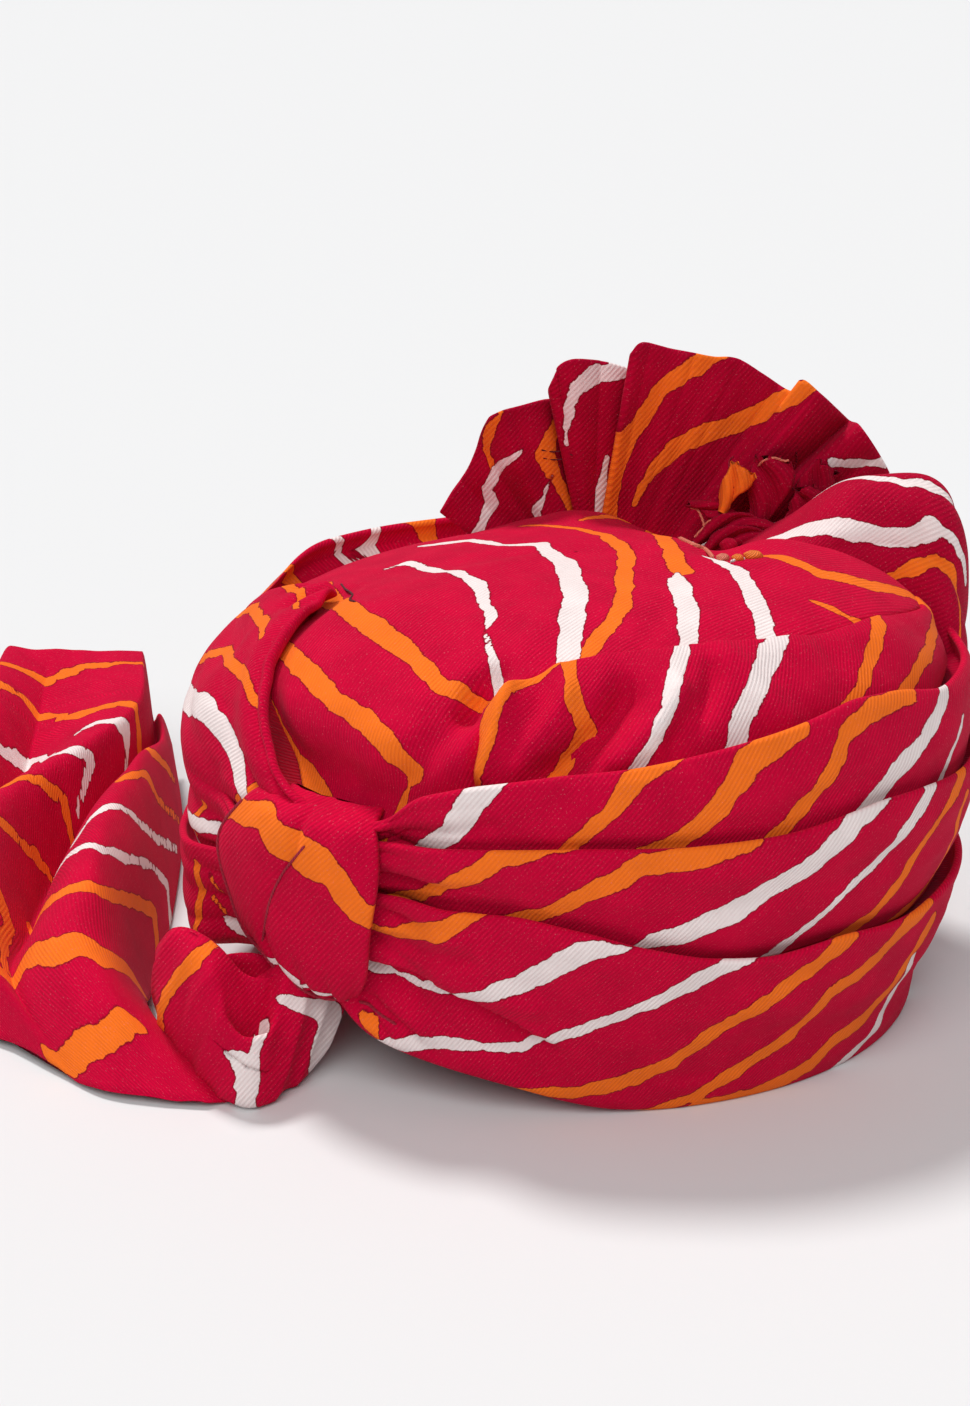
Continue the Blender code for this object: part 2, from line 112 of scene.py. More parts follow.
# Fineness: points up the outside and the step that its slope is measured over, steps round a
# tier and the crown, points up the crown, its inside, the hollow, a tier's face, the drape's
# and over a folded edge, rows and columns of grids, and points for a fold, a pleat and a thread
PROFILE_POINTS = 1500
SLOPE_STEP = 0.5
RING_STEP = 0.75
CROWN_STEP = 1.0
CROWN_POINTS = 110
CAP_POINTS = 6
HOLLOW_POINTS = 60
FACE_POINTS = 48
DRAPE_POINTS = 56
LIP_POINTS = 9
GRIDS = {"shoulder_fold": (90, 74), "cinching_loop": (90, 64), "tail_bend": (110, 56),
         "pleated_tail": (110, 150), "raw_tuft": (26, 13), "ball": (18, 28)}
FOLD_POINTS = 9
FAN_POINTS = 60
TUBE_POINTS = 8

# A folded edge's radius, how far a face starts below the fold in front of it, how deep and
# steep a crevice is, and how the tiers' edges are rounded: step, reach in steps, softness
LIP = 1.5
FACE_START = 5.0
CREVICE = 6.0
TIER_SLOPE = 14.0
EDGE_STEP = 0.5
EDGE_REACH = 12
EDGE_SOFT = 2.0

# How steeply a tier's face sinks below the fold in front, how far its back lies behind its
# edge and its foot out, its gap to the cap, its inside's least height, the places up that and
# their length on the flat cloth, and the shares where the rim's cloth is calm
TUCK_LEAN = 0.15
EDGE_TUCK = 0.4
FOOT_DEPTH = 2.0
CAP_GAP = 0.8
INSIDE_LEAST = 1.0
INSIDE_SHARES = np.array([0.0, 0.5, 1.0])
INSIDE_FLAT = 20.0
CALM_SHARES = (0.0, 0.1)

# How far the loop draws the tiers in, the angles over which that comes on and goes, and how
# little of it is left at the rim, up to which levels
PINCH = 7.0
PINCH_SIDES = ((-80.0, -66.0), (-32.0, -20.0))
RIM_HOLD = 0.2
RIM_HOLD_LEVELS = (24.0, 52.0)

# Pleats that run together under the loop: its left side, middle and right side, how many
# pleats each tier has, their height, where they start, and how soon they fade and how much
# they bend to the left and right
LOOP_ANGLES = (-62.0, -48.0, -34.0)
PLEAT_COUNTS = {"lower_tier": 4.0, "middle_tier": 2.0, "upper_tier": 2.0}
PLEAT_HEIGHT = 1.5
PLEAT_START = 0.3
PLEAT_FADE = (16.0, 8.0)
PLEAT_BEND = (-0.01, 0.012)

# Upper tier where it leans in over the crown's left side, and where its edge is a thicker roll
ROLL_LEAN = 11.0
ROLL_LEVELS = (108.0, 146.0)
ROLL_SIDES = ((-132.0, -108.0), (-84.0, -64.0))
ROLL_THIN = 1.5
THICK_SIDES = ((-112.0, -92.0), (-74.0, -50.0))

# Middle tier where the upper one's roll starts: how far it is drawn in, and up to which share
DRAWN_IN = 6.0
DRAWN_SIDES = ((-128.0, -108.0), (-74.0, -60.0))
DRAWN_SHARES = (0.0, 0.6)

# Crown: rows of angle and depth out and how softly they are rounded, the depth at its top, how
# far it goes down behind the tiers, how deep it sinks there and under the drape and over which
# levels, the shares where it comes to its top and where its folds end, and its inside's foot,
# height and gap to the dome
CROWN_DEPTH = [
    (-180, -8), (-165, -10), (-150, -12.5), (-125, -13), (-95, -12), (-80, -9.5), (-66, -5.5),
    (-50, -3.5), (-30, -3), (60, -2.5), (80, -0.5), (98, 0), (112, -4), (135, -8), (160, -8),
]
CROWN_SOFT = 6.0
CROWN_TOP_DEPTH = -8.0
CROWN_DOWN = 9.0
CROWN_EDGE = (3.0, (-4.0, 14.0))
CROWN_COVERED = (10.0, (-6.0, 1.0))
COVERED_SIDES = ((-20.0, -14.0), (88.0, 96.0))
CROWN_TOP_SHARES = (0.45, 1.0)
CROWN_SMOOTH_SHARES = (0.85, 1.0)
CROWN_FOOT = 4.0
CAP_TOP = 108.0
CAP_TUCK = 6.0

# Hollows where the crown is drawn in to the fan's foot: rows of width, height and places
# on its flat cloth
CROWN_DIPS = [
    (12, -6.5, [(52, 2), (50, 20), (52, 36)]),
    (19, -13, [(44, 64), (58, 62), (72, 56)]),
]

# Drape: how much cloth is tucked into the tier, how closely and how far in, how far it runs
# past its edge's ends, its rounded left end's length and depth, and its back's places, depth
# and start and length on the flat cloth
DRAPE_DOWN = 4.5
DRAPE_TUCK = 45.0
DRAPE_TUCK_LEAN = 12.0
DRAPE_PAST = (1.0, 6.0)
DRAPE_END = (7.0, 8.0)
DRAPE_UNDER = np.array([0.08, 0.2, 0.35, 0.5, 0.65, 0.8, 1.02])
DRAPE_BACK = 7.5
DRAPE_FLAT = (6.0, 30.0)

# Cinching loop, top to bottom: rows of level, left angle, right angle, depth out
LOOP_ROWS = [
    (115, -55, -35, -11), (111, -57, -33.5, -2.5), (105, -59, -32.2, 1), (93, -62.5, -31.8, 3.5),
    (74, -65, -33.6, 4.2), (55, -62, -36, 3), (45, -58.5, -38.5, 0.5), (38, -54, -41, -3),
]

# Loop: the way it faces, its puff and the side that lies deeper, its gathers, the levels where
# it is gathered, its seam's share across, depth and width, and where it flattens at its top
LOOP_OUT = (-0.7, -0.7, 0.0)
LOOP_PUFF = (4.6, 0.6)
LOOP_DEEPER = 3.2
LOOP_GATHERS = (1.1, 5.0, 0.2)
LOOP_FOOT_LEVELS = (66.0, 44.0)
LOOP_HEAD_LEVELS = (98.0, 112.0)
LOOP_SEAM = (0.36, 0.2, (56.0, 100.0))
SEAM_DEPTH = 1.6
SEAM_WIDTH = 0.035
LOOP_FLAT = (0.2, (121.0, 108.0))

# Shoulder behind the drape: rows of x, y, z on its front edge, belly, ridge and back edge,
# the side that faces out, and its pleats' height, pitch, lean and the lengths they come on over
SHOULDER_ROWS = [
    (58, 6, 158, 62, 14, 161, 64, 30, 160, 62, 56, 152),
    (74, 4, 160, 78, 16, 166, 80, 34, 169, 76, 66, 156),
    (92, 9, 156, 97, 18, 171, 98, 36, 182, 94, 76, 154),
    (113, 15, 148, 119, 20, 168, 121, 37, 184, 116, 80, 146),
    (126, 13, 138, 132, 19, 160, 134, 37, 177, 126, 82, 140),
    (134, 8, 126, 139, 18, 146, 141, 38, 160, 134, 86, 132),
    (138, 4, 114, 142, 18, 126, 144, 40, 136, 139, 88, 120),
    (139, 4, 102, 142, 20, 106, 144, 42, 112, 135, 88, 104),
]
SHOULDER_OUT = (1.0, 0.0, 0.5)
SHOULDER_PLEATS = (1.5, 26.0, 0.25, (20.0, 60.0))

# Fan: the way it faces, its plane, the pixel row where its cloth starts and the largest share
# that this may be, pixels for a millimetre of its cloth, its pleats' curl, puff and pitch, how
# far its foot lies behind its plane, and its length
FAN_OUT = (0.0, -1.0, 0.0)
FAN_PLANE = 66.0
FAN_START = 548.0
FAN_START_SHARE = 0.6
FAN_SCALE = 2.69
FAN_CURL = (1.1, 0.7)
FAN_PUFF = (1.6, 46.0, 0.2)
FAN_FOOT_BACK = 8.0
FAN_LENGTH = 180.0

# For each fold of the fan the photo's pixels of its rim and of its foot, how far it comes
# forward of the fan's plane in millimetres, and which lobe it is in
FAN_FOLDS = [
    (440, 511, 500, 556, 1, 0), (452, 492, 522, 558, -3, 0), (470, 466, 545, 558, -6, 0),
    (486, 424, 560, 558, 3, 0), (497, 413, 566, 558, 6, 0), (524, 405, 574, 558, 3, 0),
    (547, 400, 581, 558, -4, 0), (560, 404, 585, 558, -9, 0), (553, 399, 586, 558, -3, 1),
    (551, 386, 586, 558, 3, 1), (558, 368, 588, 558, 7, 1), (570, 360, 589, 558, 7, 1),
    (588, 360, 590, 558, 3, 1), (608, 363, 592, 558, -1, 1), (628, 369, 595, 558, -5, 1),
    (642, 374, 598, 558, -8, 1), (634, 368, 597, 558, 2, 2), (632, 358, 597, 558, 7, 2),
    (637, 345, 598, 558, 9, 2), (647, 343, 602, 558, 7, 2), (670, 349, 612, 558, 2, 2),
    (692, 353, 622, 558, 4, 2), (714, 357, 632, 558, 0, 2), (737, 359, 641, 558, 3, 2),
    (762, 374, 652, 558, -2, 2), (788, 391, 663, 558, 0, 2), (797, 388, 665, 558, 1, 2),
    (804, 381, 667, 558, 4, 2), (819, 393, 672, 558, 7, 2), (834, 407, 680, 558, 0, 3),
    (850, 422, 690, 560, -6, 3), (861, 428, 702, 560, 3, 3), (880, 457, 714, 562, 0, 3),
    (888, 472, 722, 562, -5, 3),
]

# Raw ends and wraps at the fan's foot, in the photo's pixels: how far forward of the fan's
# plane in millimetres, then x, y and half width along each, or a knot's middle and halves
TUFT_FLAPS = [
    (13, [(721, 512, 3), (730, 492, 9), (738, 479, 13), (745, 469, 15)]),
    (5, [(792, 512, 6), (808, 492, 13), (820, 476, 15), (828, 466, 12)]),
    (9, [(756, 520, 8), (766, 497, 17), (772, 474, 22), (774, 458, 17)]),
    (11, [(748, 526, 6), (722, 514, 9), (702, 507, 5), (689, 503, 2)]),
    (15, [(694, 542, 3), (715, 528, 8), (742, 521, 9), (772, 530, 5)]),
    (18, [(702, 552, 3), (722, 539, 8), (750, 535, 9), (782, 545, 4)]),
    (9, [(788, 524, 7), (801, 512, 13), (808, 498, 14), (806, 487, 9)]),
    (16, [(762, 548, 4), (775, 541, 8), (792, 535, 7), (806, 530, 3)]),
]
TUFT_KNOTS = [(30, 729, 546, 9.5, 8.5)]

# The raw ends' thickness, and a stripe wide enough to colour all of the first end
TUFT_THICKNESS = 0.9
TUFT_STRIPE = ("orange", [(0.0, 0.0, 200.0), (1.0, 0.0, 200.0)], 0)

# Fray of the raw ends in pixels, their puff and ripple in millimetres, the ripple's half waves
# along and its lean, their twist, and the steps on the flat cloth of a flap and of a ball
FRAY = 3.4
FLAP_PUFF = 1.2
FLAP_RIPPLE = 1.3
FLAP_WAVE = (3.0, 0.4)
FLAP_TWIST = 1.2
FLAP_CLOTH = (0.9, 1.2)
BALL_CLOTH = (0.6, 0.8)

# Turn of the tail below the loop: rows of x, y, lowest, highest, half thickness, and the
# pocket between its lobes: x, half width, distance back, and heights from front to back
TURN_ROWS = [
    (-82, -62, 20, 35, 3), (-89, -67.5, 8, 43, 7), (-96.5, -74.5, 1, 47, 8.5),
    (-103.5, -82.5, 0.8, 45, 9), (-108.5, -91, 0.6, 28, 7), (-112.5, -92.5, 0.6, 43, 8),
    (-118.5, -86.5, 0.6, 51, 9.5), (-127, -77.5, 0.5, 56, 9.5), (-137, -68, 0.8, 55, 8),
    (-144, -55, 6, 43, 3.5),
]
TURN_POCKET = (-110.5, 5.5, 18.0)
POCKET_SECTION = [(-1, 10), (-0.6, 27), (-0.3, 25), (0.05, 6), (0.4, 6), (0.7, 42), (0.9, 44), (1, 22)]

# Turn of the tail: bluntness below and above, where its pocket sinks and is pushed back, its
# flat cloth's width, its pleats' height, pitch and lean, and where its front lobe starts
TURN_BLUNT = (0.4, 0.8)
POCKET_SINK = (0.0, 0.3)
POCKET_PUSH = (-0.2, 0.7)
TURN_CLOTH = 12.0
TURN_PLEATS = (0.7, 13.0, 0.5)
TURN_LOBE = 0.3
LOWEST = 0.4

# Tail on the table, near end to far end: rows of right x, right y, right height, left x,
# left y, then the shares across of crest, valley, crest, valley and crest, and their heights,
# and how far each row bows towards the near end
TAIL_ROWS = [
    (-119, -92, 1.8, -240, -30, 0.24, 0.44, 0.66, 0.8, 0.9, 4.2, 2.6, 4.2, 2.6, 4.2),
    (-147, -63, 19, -262, -4, 0.24, 0.45, 0.65, 0.78, 0.88, 37, 19, 37, 19, 37),
    (-153, -16, 4, -264, 35, 0.21, 0.44, 0.65, 0.79, 0.9, 49, 12, 49, 16, 49),
    (-153, 40, 1.6, -267, 80, 0.19, 0.4, 0.56, 0.73, 0.88, 50, 11, 50, 16, 50),
    (-155, 95, 1.6, -265, 125, 0.14, 0.23, 0.33, 0.62, 0.84, 47, 16, 51, 23, 51),
    (-159, 140, 5, -260, 160, 0.07, 0.11, 0.16, 0.6, 0.8, 38, 21, 54, 39, 54),
    (-168, 188, 14, -254, 198, 0.06, 0.09, 0.13, 0.6, 0.8, 29, 24, 58, 56, 57),
]
TAIL_BOW = [18, 8, 1, 0, 0, 0, 0]
BOW_SHAPE = [(0, 0), (0.06, 0.39), (0.18, 0.72), (0.36, 1), (0.5, 0.7), (0.66, 0.28), (1, 0)]
TAIL_LEFT_HEIGHT = 1.8
TAIL_LOWEST = 1.5

# Creases: rows of width, height out of the cloth, then angles and levels along each, and
# folded edges with cloth tucked in below them: drop, reach, then angles and levels
LOWER_CREASES = [
    (2.4, 1.4, [(-33, 73), (-26, 74), (-18, 77)]),
    (5, 1.6, [(-38, 62), (-28, 61), (-18, 58), (-8, 50)]),
    (3, -1.6, [(-36, 68), (-28, 67), (-18, 69)]),
    (1.6, -2, [(-40, 38), (-37, 31), (-35, 26)]),
    (1.6, -1.6, [(-38, 39), (-33, 33), (-30, 28)]),
    (9, 1.2, [(30, 40), (50, 34), (80, 36)]),
    (12, 6.5, [(-104, 44), (-88, 42), (-77, 40)]),
]
LOWER_FOLDS = [
    (6, 13, [(-40, 56), (-27.5, 56.5), (-18.5, 52), (-9, 39), (-1, 30)]),
    (2.6, 4, [(-36, 79.5), (-26.5, 80), (-19, 86)]),
    (2.2, 4, [(-41, 40), (-38, 35), (-34, 29), (-31, 24)]),
]
MIDDLE_CREASES = [
    (2.4, -1.8, [(-33, 90), (-26, 92), (-16, 96)]),
    (5, 1, [(-30, 98), (-16, 101), (4, 100)]),
    (6, -1, [(10, 84), (30, 88), (50, 90)]),
]
UPPER_CREASES = [
    (3, -1.6, [(-31, 109), (-24, 113), (-14, 118)]),
    (6, 1, [(0, 122), (20, 126), (40, 130)]),
    (7, -1.4, [(-62, 112), (-66, 128), (-72, 148), (-79, 170)]),
    (4, -3.2, [(-84, 199), (-83, 186), (-82, 176)]),
    (3, -1.6, [(-80, 196), (-77, 186), (-76, 178)]),
    (3, -1.6, [(-88, 196), (-89, 186), (-90, 176)]),
    (6, -1.8, [(-70, 106), (-80, 116), (-92, 124)]),
]
DRAPE_CREASES = [
    (6.5, -10.5, [(8, 164), (5, 156), (0, 146), (-5, 136)]),
    (4, 4.6, [(18, 164), (13, 152), (5, 140)]),
    (4.5, 3.6, [(-3, 164), (-7, 150), (-11, 138)]),
    (3.5, -4, [(26, 170), (22, 158), (15, 146)]),
    (3.8, 4.6, [(-14, 166), (-15, 150), (-17, 134)]),
    (6, -2, [(-8, 168), (-8, 152), (-9, 136)]),
    (7, 2.2, [(30, 172), (34, 158), (36, 148)]),
    (7, -1.2, [(52, 168), (50, 152)]),
    (9, 1, [(66, 160), (72, 146)]),
]
CROWN_CREASES = [
    (13, -9, [(-66, 122), (-52, 120), (-40, 118), (-34, 120)]),
    (9, -4, [(-60, 136), (-52, 130), (-42, 128)]),
    (6, -3.6, [(-20, 163), (-21, 154), (-25, 142), (-29, 130)]),
    (5.5, -7, [(-18, 171), (-20.5, 164), (-21.5, 156)]),
    (12, 2.2, [(-50, 165), (-42, 150), (-34, 142)]),
    (5, -1.4, [(-30, 176), (-26, 160), (-27, 146)]),
    (10, 1.4, [(-10, 205), (-14, 185)]),
    (6, -1, [(30, 212), (20, 198), (14, 186)]),
]

# How folded edges come on and go along their length, in degrees, and below it, in millimetres,
# and how round the ridges of pleats are
FOLD_ENDS = (2.0, 9.0)
FOLD_STEP = (0.0, 2.0)
RIDGE = 0.8

# Seeds of the hidden stripes and the raw ends
SEEDS = {"crown": 7, "pleated_tail": 9, "shoulder_fold": 10, "raw_tuft": 81}

# Unevenness of each piece's cloth: how many cells there are before it repeats, then for each
# piece its seed and rows of height, size across and along, and lean
NOISE_CELLS = (97, 89)
TIER_WRINKLES = [(0.9, 46.0, 15.0, 0.0), (0.45, 30.0, 5.5, -1.5)]
WRINKLES = {
    "lower_tier": (11, TIER_WRINKLES),
    "middle_tier": (13, TIER_WRINKLES),
    "upper_tier": (17, TIER_WRINKLES),
    "crown": (31, [(1.5, 44.0, 38.0, 0.0), (0.5, 15.0, 12.0, 0.0)]),
    "front_drape": (41, [(0.8, 24.0, 20.0, 0.4), (0.35, 7.0, 22.0, 0.6)]),
    "shoulder_fold": (51, [(1.3, 26.0, 16.0, 0.0)]),
    "cinching_loop": (61, [(0.9, 14.0, 18.0, 0.0)]),
    "pleated_fan": (71, [(1.3, 38.0, 60.0, 0.0)]),
    "fan_rim": (72, [(1.6, 26.0, 50.0, 0.0)]),
    "tail_bend": (91, [(0.9, 13.0, 9.0, 0.0)]),
    "pleated_tail": (95, [(0.9, 24.0, 10.0, 0.0)]),
}

# Thickness of each sheet in millimetres, and how its hem shrinks and bulges
THICKNESS = {"shoulder_fold": 2.4, "cinching_loop": 2.2, "pleated_fan": 1.1, "pleated_tail": 1.4}
HEM = (0.35, 0.45)

# Cotton's colours, linear: dyed ground, the ground darkened as painted shade for the fan and the
# shoulder, cut ends, the dark line round a stripe, pale slubs, sheen, and the inks of the stripes
CRIMSON = (0.64, 0.0, 0.04)
# Painted shade: the crimson made darker for the fan and the shoulder, which stand in shade
PAINTED_SHADE_CRIMSON = tuple(0.76 * tone for tone in CRIMSON)
CUT_ENDS = (0.42, 0.0, 0.026)
DEEP = (0.22, 0.0, 0.012)
SLUB_PALE = (0.85, 0.25, 0.3)
SHEEN_TINT = (1.0, 0.3, 0.4, 1.0)
INKS = {"orange": (1.0, 0.19, 0.016), "white": (0.94, 0.83, 0.81)}

# Weave, in metres: pitch and direction of each thread, and how strong the crossings are
TWILL = (0.0014, (0.75, -0.66))
WEFT = (0.0006, (0.0, 1.0))
WARP = (0.0006, (1.0, 0.0))
CROSSINGS = 0.4

# Unevenness of the dye: scale, detail and roughness of its patches, its slubs and the
# stripes' edges, and how far in millimetres those edges swing
PATCHES = (45.0, 2.0, 0.5)
DYE = (60.0, 4.0, 0.6)
SLUBS = (1500.0, 2.0, 0.6)
FRAYED = (420.0, 3.0, 0.65)
WAVERING = (110.0, 1.0, 0.5)
FRAYED_SWING = 1.5
WAVERING_SWING = 3.6

# How dark or light the dye and the threads are, as shares of a colour, and the noises' ends
# between which each comes on
DYE_TONES = (0.86, 1.1)
DYE_ENDS = (0.3, 0.72)
THREAD_SHADE = 0.5
GROUND_THREADS = 0.5
INK_TONE = 0.88
INK_ENDS = (0.35, 0.7)
INK_THREADS = 0.48
INK_WEAVE = (-0.4, 1.0)
INK_GROUND = (0.62, 0.12)
PATCH_ENDS = (0.2, 0.6)
SLUB_SHARE = 0.4
SLUB_ENDS = (0.62, 0.76)

# Distance from a stripe, in millimetres, over which its dark line and its ink come on
LINE_EDGE = (0.6, 0.1)
INK_EDGE = (0.06, -0.1)

# Cotton's gloss, sheen, and how far and by what its normal is roughened, in metres
ROUGHNESS = (0.8, 0.95)
GLOSS = {"Specular IOR Level": 0.08, "Sheen Weight": 0.06, "Sheen Roughness": 0.4,
         "Sheen Tint": SHEEN_TINT}
BUMP_SHARES = (0.35, 3.0)
BUMP_STRENGTH = 0.5
BUMP_DISTANCE = 0.0005
THREAD_BUMP = 0.0002
